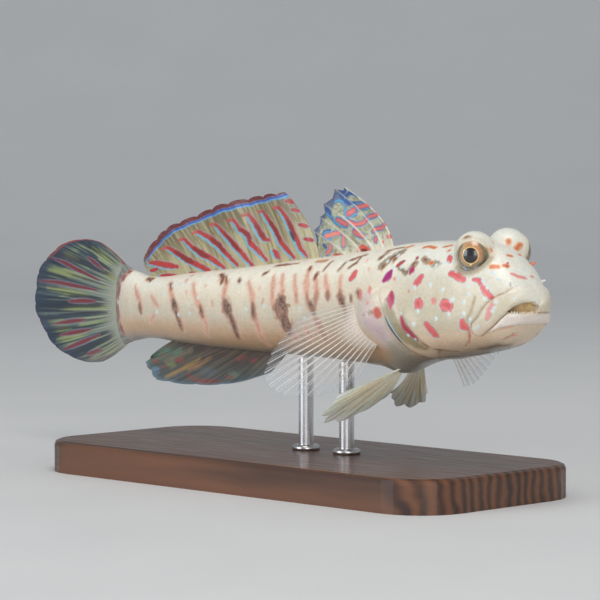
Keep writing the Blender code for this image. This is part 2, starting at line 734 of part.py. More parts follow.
def build_pelvic(side_name, collection):
    """One half of the disc under the throat: five rays that spread back, out and down."""
    side = 1 if side_name == "right" else -1
    rays = []
    for i, (splay, droop, length) in enumerate(PELVIC_FAN):
        share = i / (len(PELVIC_FAN) - 1)
        back = PELVIC_ROOT_BACK[0] + (PELVIC_ROOT_BACK[1] - PELVIC_ROOT_BACK[0]) * share
        out = PELVIC_ROOT_OUT[0] + (PELVIC_ROOT_OUT[1] - PELVIC_ROOT_OUT[0]) * share
        turn, fall = math.radians(splay), math.radians(droop)
        level = -forward_at(back) * math.cos(turn) + right_at(back) * (side * math.sin(turn))
        way = level * math.cos(fall) - Vector((0, 0, math.sin(fall)))
        foot = place(back, side * out, BELLY(back) - STALK_DEEP * PELVIC_ROOT_DEEP)
        root = foot - way * (ROOT_SUNK * MM)
        rays.append(bowed(root, foot + way * (length * MM), Vector((0, 0, -PELVIC_BOW * MM))))
    return fin(f"pelvic_fin_{side_name}", rays, PELVIC_SCALLOP, collection)


def build_base(collection):
    """A flat plate with rounded corners and a softened edge."""
    bm = bmesh.new()
    bmesh.ops.create_cube(bm, size=1.0)
    bmesh.ops.scale(bm, vec=(BASE_LONG * MM, BASE_WIDE * MM, BASE_THICK * MM), verts=bm.verts)
    bmesh.ops.translate(bm, vec=(0, 0, BASE_THICK / 2 * MM), verts=bm.verts)
    upright = [edge for edge in bm.edges if abs(edge.verts[0].co.z - edge.verts[1].co.z) > MM]
    bmesh.ops.bevel(bm, geom=upright, offset=BASE_CORNER * MM, segments=6, profile=0.5, affect="EDGES")
    over = [face for face in bm.faces if face.normal.z > 0.9]
    rim = list({edge for face in over for edge in face.edges})
    bmesh.ops.bevel(bm, geom=rim, offset=BASE_EDGE * MM, segments=2, profile=0.5, affect="EDGES")
    return new_object("stand_base", bm, collection)


def build_rod(name, back, collection):
    """A straight pin from the base up to the belly."""
    foot = place(back, 0.0, 0.0)
    foot.z = (BASE_THICK + GAP) * MM
    top = place(back, 0.0, BELLY(back) + ROD_SINK)
    bm = bmesh.new()
    bmesh.ops.create_cone(
        bm,
        cap_ends=True,
        segments=20,
        radius1=ROD_RADIUS * MM,
        radius2=ROD_RADIUS * MM,
        depth=(top - foot).length,
    )
    bmesh.ops.translate(bm, vec=(foot + top) / 2, verts=bm.verts)
    return new_object(f"stand_rod_{name}", bm, collection)


def finish_piece(made, material):
    made.data.materials.clear()
    made.data.materials.append(material)
    made.data.shade_smooth()
    made.data.set_sharp_from_angle(angle=math.radians(50.0))


def main():
    for old in list(bpy.data.objects):
        bpy.data.objects.remove(old)
    fish = bpy.data.collections.new("watchman_goby")
    bpy.context.scene.collection.children.link(fish)

    skin = make_material("skin", (0.80, 0.73, 0.60), 0.4)
    fin_soft = make_material("fin", (0.55, 0.53, 0.42), 0.4)
    fin_clear = make_material("fin_clear", (0.78, 0.74, 0.68), 0.35)
    fin_pale = make_material("fin_pale", (0.62, 0.63, 0.52), 0.4)
    eye = make_material("eye", (0.10, 0.08, 0.05), 0.1)
    wood = make_material("stand_wood", (0.16, 0.08, 0.04), 0.45)
    steel = make_material("stand_steel", (0.60, 0.60, 0.60), 0.3, 1.0)

    head, jaw = build_head(fish)
    for made in (head, jaw, build_trunk(fish), build_tail_stalk(fish)):
        finish_piece(made, skin)
    for side, name in ((1, "right"), (-1, "left")):
        centre = place(EYE_BACK, side * EYE_OUT, EYE_RISE)
        finish_piece(ball(f"eye_{name}", centre, EYE_RADIUS, fish, 20), eye)

    fins = [
        (build_first_dorsal(fish), fin_soft),
        (build_second_dorsal(fish), fin_soft),
        (build_anal(fish), fin_soft),
        (build_caudal(fish), fin_soft),
        (build_pectoral("right", fish), fin_clear),
        (build_pectoral("left", fish), fin_clear),
        (build_pelvic("right", fish), fin_pale),
        (build_pelvic("left", fish), fin_pale),
    ]
    rods = [(build_rod(name, back, fish), steel) for name, back in ROD_BACKS.items()]
    for made, material in fins + rods:
        combine(made, [body_cutter("clear_of_body", fish)], "DIFFERENCE")
        finish_piece(made, material)
    finish_piece(build_base(fish), wood)


main()
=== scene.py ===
"""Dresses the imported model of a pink-spotted watchman goby: skin, eyes, fins and stand.

The fish is drawn in millimetres as in its solids: "back" is the distance behind the snout along
the spine, "out" the distance from the midline, to the right where positive, and "rise" the height
over the spine line. "Turn" is the angle round the body in degrees, from 0 at the back's ridge to
180 at the belly, positive on the right. On a fin, places are (ray, along): the number of the ray
counted from the front or the top, and the share of the way to its tip.
"""

import math

import bmesh
import bpy
import numpy as np
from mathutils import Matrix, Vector


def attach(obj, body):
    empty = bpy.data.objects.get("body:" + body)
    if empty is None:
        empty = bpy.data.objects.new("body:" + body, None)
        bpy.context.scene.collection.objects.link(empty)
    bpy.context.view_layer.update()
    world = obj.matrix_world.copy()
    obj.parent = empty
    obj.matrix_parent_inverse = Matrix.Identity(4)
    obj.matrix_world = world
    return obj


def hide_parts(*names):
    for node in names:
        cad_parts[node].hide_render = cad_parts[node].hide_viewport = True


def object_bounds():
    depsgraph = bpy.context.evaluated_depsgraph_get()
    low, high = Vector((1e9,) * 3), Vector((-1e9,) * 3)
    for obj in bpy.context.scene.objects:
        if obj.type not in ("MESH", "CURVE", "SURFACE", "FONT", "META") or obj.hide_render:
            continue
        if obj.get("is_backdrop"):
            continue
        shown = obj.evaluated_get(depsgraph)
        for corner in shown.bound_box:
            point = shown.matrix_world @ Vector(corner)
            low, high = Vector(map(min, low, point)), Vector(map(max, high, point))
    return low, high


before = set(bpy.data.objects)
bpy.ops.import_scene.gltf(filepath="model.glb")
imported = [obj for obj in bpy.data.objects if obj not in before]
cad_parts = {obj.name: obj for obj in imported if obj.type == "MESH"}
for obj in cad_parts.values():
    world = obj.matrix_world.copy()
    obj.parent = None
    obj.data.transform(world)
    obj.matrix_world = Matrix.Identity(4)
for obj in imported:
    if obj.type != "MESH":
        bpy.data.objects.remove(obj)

CAD_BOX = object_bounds()
MM = 0.001

BODY_LENGTH = 94.0
SPINE_HEIGHT = 28.0
SNOUT_X = 48.0
SNOUT_Y = -1.0
# Back, and the way the spine heads there in degrees
HEADINGS = ((-10, -5), (25, -3), (50, 1), (80, -6), (94, -12), (130, -14))
# Back, rise of the ridge, rise of the belly, half the width, rise of the widest place
BODY_LINES = (
    (0.0, 1.0, 1.0, 0.0, 0.9),
    (0.5, 2.9, -1.1, 2.5, 0.5),
    (2.0, 5.2, -3.3, 4.3, 0.1),
    (4.0, 7.4, -4.7, 5.5, -0.3),
    (7.0, 9.3, -5.6, 6.3, -0.7),
    (10.0, 9.9, -6.3, 6.8, -0.9),
    (14.0, 9.8, -7.0, 7.2, -1.0),
    (19.0, 9.7, -7.7, 7.5, -0.9),
    (24.0, 9.3, -8.7, 7.5, -0.7),
    (30.0, 8.5, -9.1, 7.1, -0.6),
    (38.0, 7.3, -8.8, 6.6, -0.8),
    (48.0, 6.2, -8.5, 5.9, -1.2),
    (60.0, 4.7, -8.4, 5.0, -1.9),
    (73.0, 3.4, -8.0, 4.0, -2.3),
    (84.0, 2.4, -7.6, 2.9, -2.6),
    (90.0, 3.2, -8.4, 2.2, -2.6),
    (94.0, 4.4, -9.4, 1.5, -2.5),
    (96.0, 5.0, -10.0, 1.2, -2.5),
)
SQUARENESS = 2.25
HEAD_BASE = 24.6  # how far back the gill cover's rim reaches
GILL_SWEEP = 8.5  # how far ahead of that it lies at the belly
GILL_SWEEP_ABOVE = 1.2  # and at the back's ridge
GILL_LOW_TURN = 78.0
GILL_HIGH_TURN = 75.0
# Fleshy base of the pectoral fin
LOBE_BACK = 26.9
LOBE_RISE = -1.9
LOBE_OUT = 1.4
LOBE_LONG = 2.8
LOBE_TALL = 3.6
# Fleshy base of the pelvic fins
STALK_BACK = 26.2
STALK_DEEP = 1.1
STALK_LONG = 2.6
STALK_TURN = 32.0
EYE_RADIUS = 2.5
MOUND_BACK = 9.3
MOUND_RADIUS = 2.95
# Right and left, which look different ways: back, out, rise and turn of the eye, out and rise of its mound
EYES = ((8.75, 3.85, 8.0, 57.0), (8.75, 4.1, 8.3, 80.0))
MOUNDS = ((3.15, 8.4), (3.4, 8.75))
ROOT_SUNK = 1.2  # how deep the fins' roots lie under the skin


def smooth_curve(places, values):
    """A smooth curve through the points that never swings past them."""
    x = np.asarray(places, float)
    y = np.asarray(values, float)
    slope = np.diff(y) / np.diff(x)
    tangent = np.concatenate([slope[:1], np.zeros(len(x) - 2), slope[-1:]])
    product = slope[:-1] * slope[1:]
    same_way = product > 0
    total = np.where(same_way, slope[:-1] + slope[1:], 1.0)
    tangent[1:-1] = np.where(same_way, 2 * product / total, 0.0)

    def at(place):
        place = np.clip(place, x[0], x[-1])
        i = np.clip(np.searchsorted(x, place) - 1, 0, len(x) - 2)
        span = x[i + 1] - x[i]
        t = (place - x[i]) / span
        start = y[i] * (1 + 2 * t) * (1 - t) ** 2 + tangent[i] * span * t * (1 - t) ** 2
        end = y[i + 1] * t * t * (3 - 2 * t) - tangent[i + 1] * span * t * t * (1 - t)
        return start + end

    return at


def body_line(column):
    """One column of BODY_LINES as a curve. Square roots round the snout off."""
    curve = smooth_curve(np.sqrt([row[0] for row in BODY_LINES]), [row[column] for row in BODY_LINES])
    return lambda back: curve(np.sqrt(np.maximum(back, 0.0)))


TOP, BELLY, HALF_WIDTH, WIDEST = (body_line(column) for column in (1, 2, 3, 4))
HEADING = smooth_curve(*zip(*HEADINGS))
SPINE_STEP = 0.25
SPINE_BACKS = np.arange(-10.0, 130.0, SPINE_STEP)
SPINE_TURN = np.radians(HEADING(SPINE_BACKS + SPINE_STEP / 2))
SPINE_X = -np.concatenate([[0.0], np.cumsum(np.cos(SPINE_TURN))[:-1]]) * SPINE_STEP
SPINE_Y = -np.concatenate([[0.0], np.cumsum(np.sin(SPINE_TURN))[:-1]]) * SPINE_STEP
SPINE_X += SNOUT_X - np.interp(0.0, SPINE_BACKS, SPINE_X)
SPINE_Y += SNOUT_Y - np.interp(0.0, SPINE_BACKS, SPINE_Y)


def forward_at(back):
    turn = np.radians(HEADING(back))
    return np.stack([np.cos(turn), np.sin(turn), np.zeros_like(turn)], axis=-1)


def right_at(back):
    turn = np.radians(HEADING(back))
    return np.stack([np.sin(turn), -np.cos(turn), np.zeros_like(turn)], axis=-1)


def place(back, out, rise):
    """World points, in metres, of points drawn on the fish in millimetres."""
    back, out, rise = np.broadcast_arrays(np.asarray(back, float), out, rise)
    x = np.interp(back, SPINE_BACKS, SPINE_X)
    y = np.interp(back, SPINE_BACKS, SPINE_Y)
    spine = np.stack([x, y, SPINE_HEIGHT + rise], axis=-1)
    return (spine + right_at(back) * out[..., None]) * MM


def gill_edge(turn):
    """How far back the gill cover's rim lies at a turn in degrees round the body."""
    turn = np.abs(turn)
    below = np.maximum(turn - GILL_LOW_TURN, 0.0) / (180.0 - GILL_LOW_TURN)
    above = np.maximum(GILL_HIGH_TURN - turn, 0.0) / GILL_HIGH_TURN
    return HEAD_BASE - GILL_SWEEP * below - GILL_SWEEP_ABOVE * above


def lobe_swelling(back, rise):
    along = (back - LOBE_BACK) / LOBE_LONG
    across = (rise - LOBE_RISE) / LOBE_TALL
    return LOBE_OUT * np.exp(-along * along - across * across)


def plain_section(back, turn):
    """Out and rise of the body without its eye mounds. The turn runs from 0 at the back's ridge."""
    angle = np.radians(turn)
    side, height = np.sin(angle), np.cos(angle)
    power = 2 / SQUARENESS
    widest = WIDEST(back)
    reach = np.where(height > 0, TOP(back) - widest, widest - BELLY(back))
    rise = widest + np.sign(height) * reach * np.abs(height) ** power
    half = HALF_WIDTH(back) + lobe_swelling(back, rise)
    out = np.sign(side) * half * np.abs(side) ** power
    along = (back - STALK_BACK) / STALK_LONG
    across = (180.0 - np.abs(turn)) / STALK_TURN
    return out, rise - STALK_DEEP * np.exp(-along * along - across * across)


MOUND_BLEND = 0.35
MOUND_DEEP = 1.5  # a mound that lies further than this under the skin doesn't lift it


def body_section(back, turn):
    """Out and rise with the mounds, found along lines from the section's middle."""
    back, turn = np.broadcast_arrays(np.asarray(back, float), turn)
    out, rise = plain_section(back, turn)
    middle = WIDEST(back)
    length = np.hypot(out, rise - middle)
    length = np.maximum(length, 1e-6)
    way_out, way_up = out / length, (rise - middle) / length
    inside = MOUND_RADIUS**2 - (back - MOUND_BACK) ** 2
    side = np.where(turn < 0, -1.0, 1.0)
    mound_out = np.where(turn < 0, MOUNDS[1][0], MOUNDS[0][0])
    mound_up = np.where(turn < 0, MOUNDS[1][1], MOUNDS[0][1]) - middle
    along = way_out * side * mound_out + way_up * mound_up
    depth = along**2 - mound_out**2 - mound_up**2 + inside
    reach = along + np.sign(depth) * np.sqrt(np.abs(depth))
    reach = np.where((inside > 0) & (way_up > 0), reach, 0.0)
    gap = reach - length
    lift = 0.5 * (gap + np.sqrt(gap * gap + MOUND_BLEND**2))
    lift = np.where(gap < -MOUND_DEEP, 0.0, lift)
    length = length + lift
    return way_out * length, middle + way_up * length


def skin_place(back, turn):
    out, rise = body_section(back, turn)
    return place(back, out, rise)


def bowed(root, tip, bow, along):
    """Points on gentle bends from roots to tips at shares along them."""
    along = along[..., None]
    middle = (root + tip) / 2 + bow
    return root * (1 - along) ** 2 + middle * 2 * along * (1 - along) + tip * along * along


# First dorsal fin, one row for each spine: root back, tip back, tip rise, forward bow
FIRST_DORSAL = (
    (29.5, 39.6, 17.4, 6.2),
    (31.3, 42.1, 17.0, 4.6),
    (33.0, 43.9, 14.7, 3.8),
    (35.6, 45.1, 12.7, 3.0),
    (38.4, 45.9, 10.6, 1.8),
    (43.8, 45.8, 8.4, 0.3),
)
FIRST_DORSAL_PLEAT = 0.25
SECOND_DORSAL_ROOTS = (46.3, 81.5)
SECOND_DORSAL_TIPS = ((52.5, 16.5), (59.0, 15.7), (67.0, 14.3), (75.0, 12.0), (82.5, 9.5), (87.2, 5.4))
SECOND_DORSAL_RAYS = 11
SECOND_DORSAL_BOW = 1.2
ANAL_ROOTS = (51.0, 75.5)
ANAL_SWEEP = 2.4  # how fast the rays run back along the margin, which they do sooner than at their roots
ANAL_TIPS = ((55.5, -11.6), (61.0, -13.2), (68.5, -14.3), (75.5, -14.6), (83.5, -14.1), (85.6, -11.0))
ANAL_RAYS = 10
ANAL_BOW = 0.6
MARGIN_WAVE = (0.3, 2.1)
EDGE_BOWS_LONG = (0.07, 0.08)  # how far in from the front and rear edges their extra bow reaches
CAUDAL_RAYS = 15
CAUDAL_CENTRE_BACK = 106.5
CAUDAL_CENTRE_RISE = -2.5
CAUDAL_LONG = 19.9
CAUDAL_TALL = 10.4
CAUDAL_SPREAD = 106.0
CAUDAL_ROOT_TALL = 6.3
CAUDAL_ROOT_AHEAD = 2.2  # how much further forward the outer rays start
CAUDAL_BOW = 0.9
CAUDAL_WAVE = (0.15, 2.4)
# From the top ray to the lowest: droop in degrees and length
PECTORAL_FANS = {
    "right": (
        (13.5, 9.2), (20.5, 13.0), (26.5, 16.2), (32.0, 17.8),
        (38.5, 17.0), (46.5, 14.1), (54.5, 11.0), (66.5, 6.2),
    ),
    "left": (
        (-2.0, 9.2), (4.0, 13.0), (11.0, 16.6), (19.5, 17.2),
        (29.5, 14.2), (41.0, 11.9), (53.0, 10.4), (66.0, 8.7),
    ),
}
PECTORAL_ROOT_TOP = (29.2, 0.8)
PECTORAL_ROOT_FOOT = (25.5, -4.7)
PECTORAL_SPLAY = {"right": (18.0, 36.0), "left": (68.0, 92.0)}
PECTORAL_BOW = 0.7
# From the outer ray to the inner: splay and droop in degrees, and length
PELVIC_FANS = {
    "right": (
        (40.0, 23.0, 8.8), (41.0, 31.0, 12.8), (38.0, 35.5, 13.5),
        (34.0, 41.0, 11.8), (22.0, 50.0, 7.4), (3.0, 54.0, 5.0),
    ),
    "left": (
        (48.0, 27.0, 9.0), (48.0, 29.5, 11.5), (38.0, 31.0, 13.0),
        (29.0, 31.0, 12.4), (17.0, 35.0, 8.2), (3.0, 40.0, 5.6),
    ),
}
PELVIC_ROOT_BACK = (25.9, 26.9)
PELVIC_ROOT_OUT = (3.1, 0.85)
PELVIC_ROOT_DEEP = 0.6
PELVIC_BOW = 0.5


def even(rows, column):
    return smooth_curve(np.linspace(0, 1, len(rows)), [row[column] for row in rows])


def first_dorsal(across, along):
    root_back, tip_back, tip_rise, bow = (even(FIRST_DORSAL, column)(across) for column in range(4))
    pleat = FIRST_DORSAL_PLEAT * np.cos(np.pi * across * (len(FIRST_DORSAL) - 1))
    root = place(root_back, 0.0, TOP(root_back) - ROOT_SUNK)
    tip = place(tip_back, pleat, tip_rise)
    return bowed(root, tip, forward_at(root_back) * (bow * MM)[..., None], along)


def margin_fin(roots, tips, count, ridge, sunk, bow, sweep, edge_bows):
    """A fin along the back or belly; its first and last rays are bowed by their own amounts besides."""
    sway, step = MARGIN_WAVE

    def surface(across, along):
        root_back = roots[0] + (roots[1] - roots[0]) * across
        root = place(root_back, 0.0, ridge(root_back) + sunk)
        wave = sway * np.sin(step * across * (count - 1))
        reach = 1 - np.maximum(1 - across, 0.0) ** sweep
        tip = place(even(tips, 0)(reach), wave, even(tips, 1)(reach))
        front, rear = EDGE_BOWS_LONG
        curve = bow + edge_bows[0] * np.exp(-across / front) + edge_bows[1] * np.exp(-(1 - across) / rear)
        return bowed(root, tip, forward_at(root_back) * (curve * MM)[..., None], along)

    return surface


second_dorsal = margin_fin(
    SECOND_DORSAL_ROOTS, SECOND_DORSAL_TIPS, SECOND_DORSAL_RAYS,
    TOP, -ROOT_SUNK, SECOND_DORSAL_BOW, 1.0, (1.1, -2.2),
)
anal = margin_fin(ANAL_ROOTS, ANAL_TIPS, ANAL_RAYS, BELLY, ROOT_SUNK, ANAL_BOW, ANAL_SWEEP, (0.0, -1.9))


def caudal(across, along):
    sway, step = CAUDAL_WAVE
    level = 1 - 2 * across
    turn = np.radians(CAUDAL_SPREAD * level)
    root_back = BODY_LENGTH - ROOT_SUNK - CAUDAL_ROOT_AHEAD * level**4
    root_rise = WIDEST(BODY_LENGTH) + CAUDAL_ROOT_TALL * level
    root = place(root_back, 0.0, np.clip(root_rise, BELLY(root_back) + 0.5, TOP(root_back) - 0.5))
    tip_back = CAUDAL_CENTRE_BACK + CAUDAL_LONG * np.cos(turn)
    wave = sway * np.cos(step * across * (CAUDAL_RAYS - 1))
    tip = place(tip_back, wave, CAUDAL_CENTRE_RISE + CAUDAL_TALL * np.sin(turn))
    bow = np.zeros(tip.shape)
    bow[..., 2] = level * CAUDAL_BOW * MM
    return bowed(root, tip, bow, along)


# Tones, as they would be picked on a screen


def tone(red, green, blue):
    """A screen colour as the shaders' linear light."""
    share = np.array([red, green, blue]) / 255.0
    return np.where(share <= 0.04045, share / 12.92, ((share + 0.055) / 1.055) ** 2.4)


CREAM = tone(240, 235, 219)
FOREHEAD = tone(232, 231, 220)
FLANK = tone(228, 216, 193)
LOW_FLANK = tone(206, 172, 138)
# greyish belly tone, painted darker than the skin's own colour as painted shade
SHADED_UNDERSIDE = tone(150, 144, 130)
FACE = tone(210, 200, 175)
LIP_PALE = tone(222, 212, 192)
LOWER_PALE = tone(232, 224, 218)
JAW = tone(218, 192, 164)
SALMON = tone(234, 110, 106)
OLIVE = tone(138, 118, 84)
PALE_BLUE = tone(208, 228, 232)
GROOVE_SHADE = tone(176, 124, 92)


# Noise and distances


def noise(points, scale, seed):
    """Smooth noise from 0 to 1 at points in millimetres, with lumps of about a given size."""
    table = np.random.default_rng(seed).random((32, 32, 32))
    spot = points / scale
    low = np.floor(spot).astype(int)
    share = spot - low
    share = share * share * (3 - 2 * share)
    total = np.zeros(len(points))
    for corner in range(8):
        step = np.array([corner & 1, corner >> 1 & 1, corner >> 2 & 1])
        weight = np.prod(np.where(step, share, 1 - share), axis=1)
        at = (low + step) % 32
        total += weight * table[at[:, 0], at[:, 1], at[:, 2]]
    return total


def smooth_step(low, high, value):
    share = np.clip((value - low) / (high - low), 0.0, 1.0)
    return share * share * (3 - 2 * share)


def distance_to(points, path):
    """Distance from each point to a line through the path's points, and the share along it."""
    path = np.atleast_2d(path)
    best = np.linalg.norm(points - path[0], axis=1)
    along = np.zeros(len(points))
    count = max(len(path) - 1, 1)
    for i, (start, end) in enumerate(zip(path, path[1:])):
        way = end - start
        share = np.clip((points - start) @ way / max(way @ way, 1e-12), 0.0, 1.0)
        gap = np.linalg.norm(points - start - share[:, None] * way, axis=1)
        nearer = gap < best
        best = np.where(nearer, gap, best)
        along = np.where(nearer, (i + share) / count, along)
    return best, along


class Paint:
    """Colours for the points of one piece, laid on in strokes."""

    def __init__(self, points, ground, seed):
        self.points = points
        self.colour = np.array(np.broadcast_to(ground, points.shape), float)
        self.wobble = noise(points, 0.55, seed) - 0.5
        self.fine = noise(points, 0.28, seed + 1) - 0.5

    def lay(self, tone_of, mask):
        mask = np.clip(mask, 0.0, 1.0)[:, None]
        self.colour = self.colour * (1 - mask) + tone_of * mask

    def stroke(self, path, width, tone_of, soft=0.1, strength=1.0, rough=0.3, patchy=0.0, ends=1.0):
        """A line or spot of a half width in millimetres. Ends is the width's share at both ends."""
        reach = width * (1 + 2 * rough) + soft
        low, high = path.min(axis=0) - reach, path.max(axis=0) + reach
        near = np.flatnonzero(np.all((self.points > low) & (self.points < high), axis=1))
        if not len(near):
            return
        gap, along = distance_to(self.points[near], path)
        taper = 1 - (1 - ends) * np.abs(2 * along - 1) ** 2
        gap = gap + (self.wobble[near] * 2 + self.fine[near]) * rough * width
        mask = strength * (1 - smooth_step(width * taper - soft, width * taper + soft, gap))
        if patchy:
            mask = mask * smooth_step(0.45 - patchy, 0.85 - patchy, self.wobble[near] + self.fine[near] + 0.5)
        self.colour[near] = self.colour[near] * (1 - mask[:, None]) + tone_of * mask[:, None]


# Meshes


def mesh_object(name, points, faces, smooth=True):
    mesh = bpy.data.meshes.new(name)
    mesh.vertices.add(len(points))
    mesh.vertices.foreach_set("co", np.asarray(points, np.float32).ravel())
    faces = np.asarray(faces, np.int32)
    mesh.loops.add(faces.size)
    mesh.loops.foreach_set("vertex_index", faces.ravel())
    mesh.polygons.add(len(faces))
    sides = faces.shape[1]
    mesh.polygons.foreach_set("loop_start", np.arange(0, faces.size, sides, dtype=np.int32))
    mesh.update(calc_edges=True)
    mesh.validate()
    if smooth:
        mesh.shade_smooth()
    made = bpy.data.objects.new(name, mesh)
    bpy.context.scene.collection.objects.link(made)
    return made


def set_colours(made, name, colours):
    field = made.data.attributes.new(name, "FLOAT_COLOR", "POINT")
    opaque = np.column_stack([colours, np.ones(len(colours))])
    field.data.foreach_set("color", opaque.astype(np.float32).ravel())


def set_values(made, name, values):
    field = made.data.attributes.new(name, "FLOAT", "POINT")
    field.data.foreach_set("value", np.asarray(values, np.float32))


def set_vectors(made, name, vectors):
    field = made.data.attributes.new(name, "FLOAT_VECTOR", "POINT")
    field.data.foreach_set("vector", np.asarray(vectors, np.float32).ravel())


def grid_faces(rows, columns, wrap=False, flip=False):
    """Quads over a grid of points numbered row by row."""
    i, j = np.meshgrid(np.arange(rows - 1), np.arange(columns if wrap else columns - 1), indexing="ij")
    k = (j + 1) % columns
    here, next_row = i * columns, (i + 1) * columns
    quads = np.stack([here + j, here + k, next_row + k, next_row + j], axis=-1).reshape(-1, 4)
    return quads[:, ::-1] if flip else quads


def add_faces(made, rings, spots=(), outward=True):
    """Adds points to an object's mesh, and then faces, each given as a ring of the points' numbers."""
    shell = bmesh.new()
    shell.from_mesh(made.data)
    for spot in spots:
        shell.verts.new(spot)
    shell.verts.ensure_lookup_table()
    for ring in rings:
        shell.faces.new([shell.verts[k] for k in ring]).smooth = True
    if outward:
        bmesh.ops.recalc_face_normals(shell, faces=shell.faces[:])
    shell.to_mesh(made.data)
    shell.free()


def finish_piece(made, material, slot, *nodes):
    made.data.materials.append(material)
    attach(made, "root")
    if nodes:
        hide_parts(*nodes)
    return made


# Materials


class Nodes:
    """Short calls for building one material's nodes."""

    def __init__(self, name):
        self.material = bpy.data.materials.new(name)
        self.material.use_nodes = True
        self.tree = self.material.node_tree
        self.shader = self.tree.nodes["Principled BSDF"]

    def add(self, kind, settings=None, **inputs):
        node = self.tree.nodes.new("ShaderNode" + kind)
        for key, value in (settings or {}).items():
            setattr(node, key, value)
        self.fill(node, inputs)
        return node

    def fill(self, node, inputs):
        for key, value in inputs.items():
            self.put(node.inputs[key.replace("_", " ")], value)

    def put(self, socket, value):
        if isinstance(value, bpy.types.NodeSocket):
            self.tree.links.new(value, socket)
        else:
            socket.default_value = value

    def finish(self, **inputs):
        """Fills the shader's own sockets and gives back the material."""
        self.fill(self.shader, inputs)
        return self.material

    def attribute(self, name, output="Color"):
        return self.add("Attribute", {"attribute_name": name}).outputs[output]

    def noise(self, vector, scale, detail=3.0, rough=0.5):
        made = self.add("TexNoise", Vector=vector, Scale=scale, Detail=detail, Roughness=rough)
        return made.outputs["Fac"]

    def spread(self, value, low, high, start=0.3, end=0.7):
        made = self.add("MapRange", Value=value, From_Min=start, From_Max=end, To_Min=low, To_Max=high)
        return made.outputs["Result"]

    def ramp(self, value, low, high, places=(0.0, 1.0)):
        """Two screen colours blended by a value between two places."""
        made = self.add("ValToRGB", Fac=value)
        for stop, place_of, shade_of in zip(made.color_ramp.elements, places, (low, high)):
            stop.position = place_of
            stop.color = (*tone(*shade_of), 1.0)
        return made.outputs["Color"]

    def times(self, colour, value):
        """A colour multiplied by a value that varies over the surface."""
        made = self.add("Mix", {"data_type": "RGBA", "blend_type": "MULTIPLY"})
        made.inputs["Factor"].default_value = 1.0
        self.put(made.inputs[6], colour)
        self.put(made.inputs[7], value)
        return made.outputs[2]

    def bump(self, height, strength, distance, before=None):
        made = self.add("Bump", Strength=strength, Distance=distance, Height=height)
        if before is not None:
            self.put(made.inputs["Normal"], before)
        return made.outputs["Normal"]

    def place(self):
        return self.add("TexCoord").outputs["Object"]


def skin_material():
    """Moist skin: painted ground, fine speckle, small scales behind the head, and a clear film."""
    nodes = Nodes("goby_skin")
    place_of = nodes.place()
    speckle = nodes.spread(nodes.noise(place_of, 2600.0, 4.0, 0.6), 0.9, 1.06)
    cloud = nodes.spread(nodes.noise(place_of, 420.0, 3.0), 0.95, 1.04)
    colour = nodes.times(nodes.times(nodes.attribute("paint"), speckle), cloud)
    scales = nodes.add("TexVoronoi", {"feature": "DISTANCE_TO_EDGE"}, Scale=1.9, Randomness=0.35)
    nodes.put(scales.inputs["Vector"], nodes.attribute("scale_map", "Vector"))
    edge = nodes.spread(scales.outputs["Distance"], 0.0, 1.0, 0.0, 0.16)
    height = nodes.add("Math", {"operation": "MULTIPLY"})
    nodes.put(height.inputs[0], edge)
    nodes.put(height.inputs[1], nodes.attribute("scaly", "Fac"))
    pores = nodes.bump(nodes.noise(place_of, 5200.0, 3.0, 0.6), 0.16, 0.00004)
    return nodes.finish(
        Base_Color=colour,
        Roughness=nodes.spread(nodes.noise(place_of, 900.0, 3.0), 0.34, 0.46),
        Normal=nodes.bump(height.outputs[0], 0.3, 0.00004, pores),
        Subsurface_Weight=0.12,
        Subsurface_Radius=(1.0, 0.45, 0.3),
        Subsurface_Scale=0.0005,
        Coat_Weight=0.35,
        Coat_Roughness=0.16,
    )


def fin_material(name, roughness, coat):
    """Thin fin: painted rays and web, with its own cover so that clear web lets light through."""
    nodes = Nodes(name)
    grain = nodes.noise(nodes.place(), 3200.0, 3.0, 0.6)
    return nodes.finish(
        Base_Color=nodes.times(nodes.attribute("paint"), nodes.spread(grain, 0.9, 1.07)),
        Alpha=nodes.attribute("cover", "Fac"),
        Roughness=nodes.spread(grain, roughness - 0.05, roughness + 0.07),
        Normal=nodes.bump(grain, 0.15, 0.00003),
        Coat_Weight=coat,
        Coat_Roughness=0.2,
    )


def eye_material():
    """Painted iris under the clear, wet bulge of the eye."""
    nodes = Nodes("goby_eye")
    flecks = nodes.noise(nodes.place(), 4200.0, 4.0, 0.65)
    return nodes.finish(
        Base_Color=nodes.times(nodes.attribute("paint"), nodes.spread(flecks, 0.86, 1.1)),
        Roughness=nodes.spread(flecks, 0.22, 0.34),
        Coat_Weight=1.0,
        Coat_Roughness=0.02,
    )


def tooth_material():
    nodes = Nodes("goby_teeth")
    grain = nodes.noise(nodes.place(), 3000.0)
    colour = nodes.ramp(grain, (238, 228, 204), (250, 246, 234))
    return nodes.finish(Base_Color=colour, Roughness=nodes.spread(grain, 0.2, 0.3), Coat_Weight=0.4)


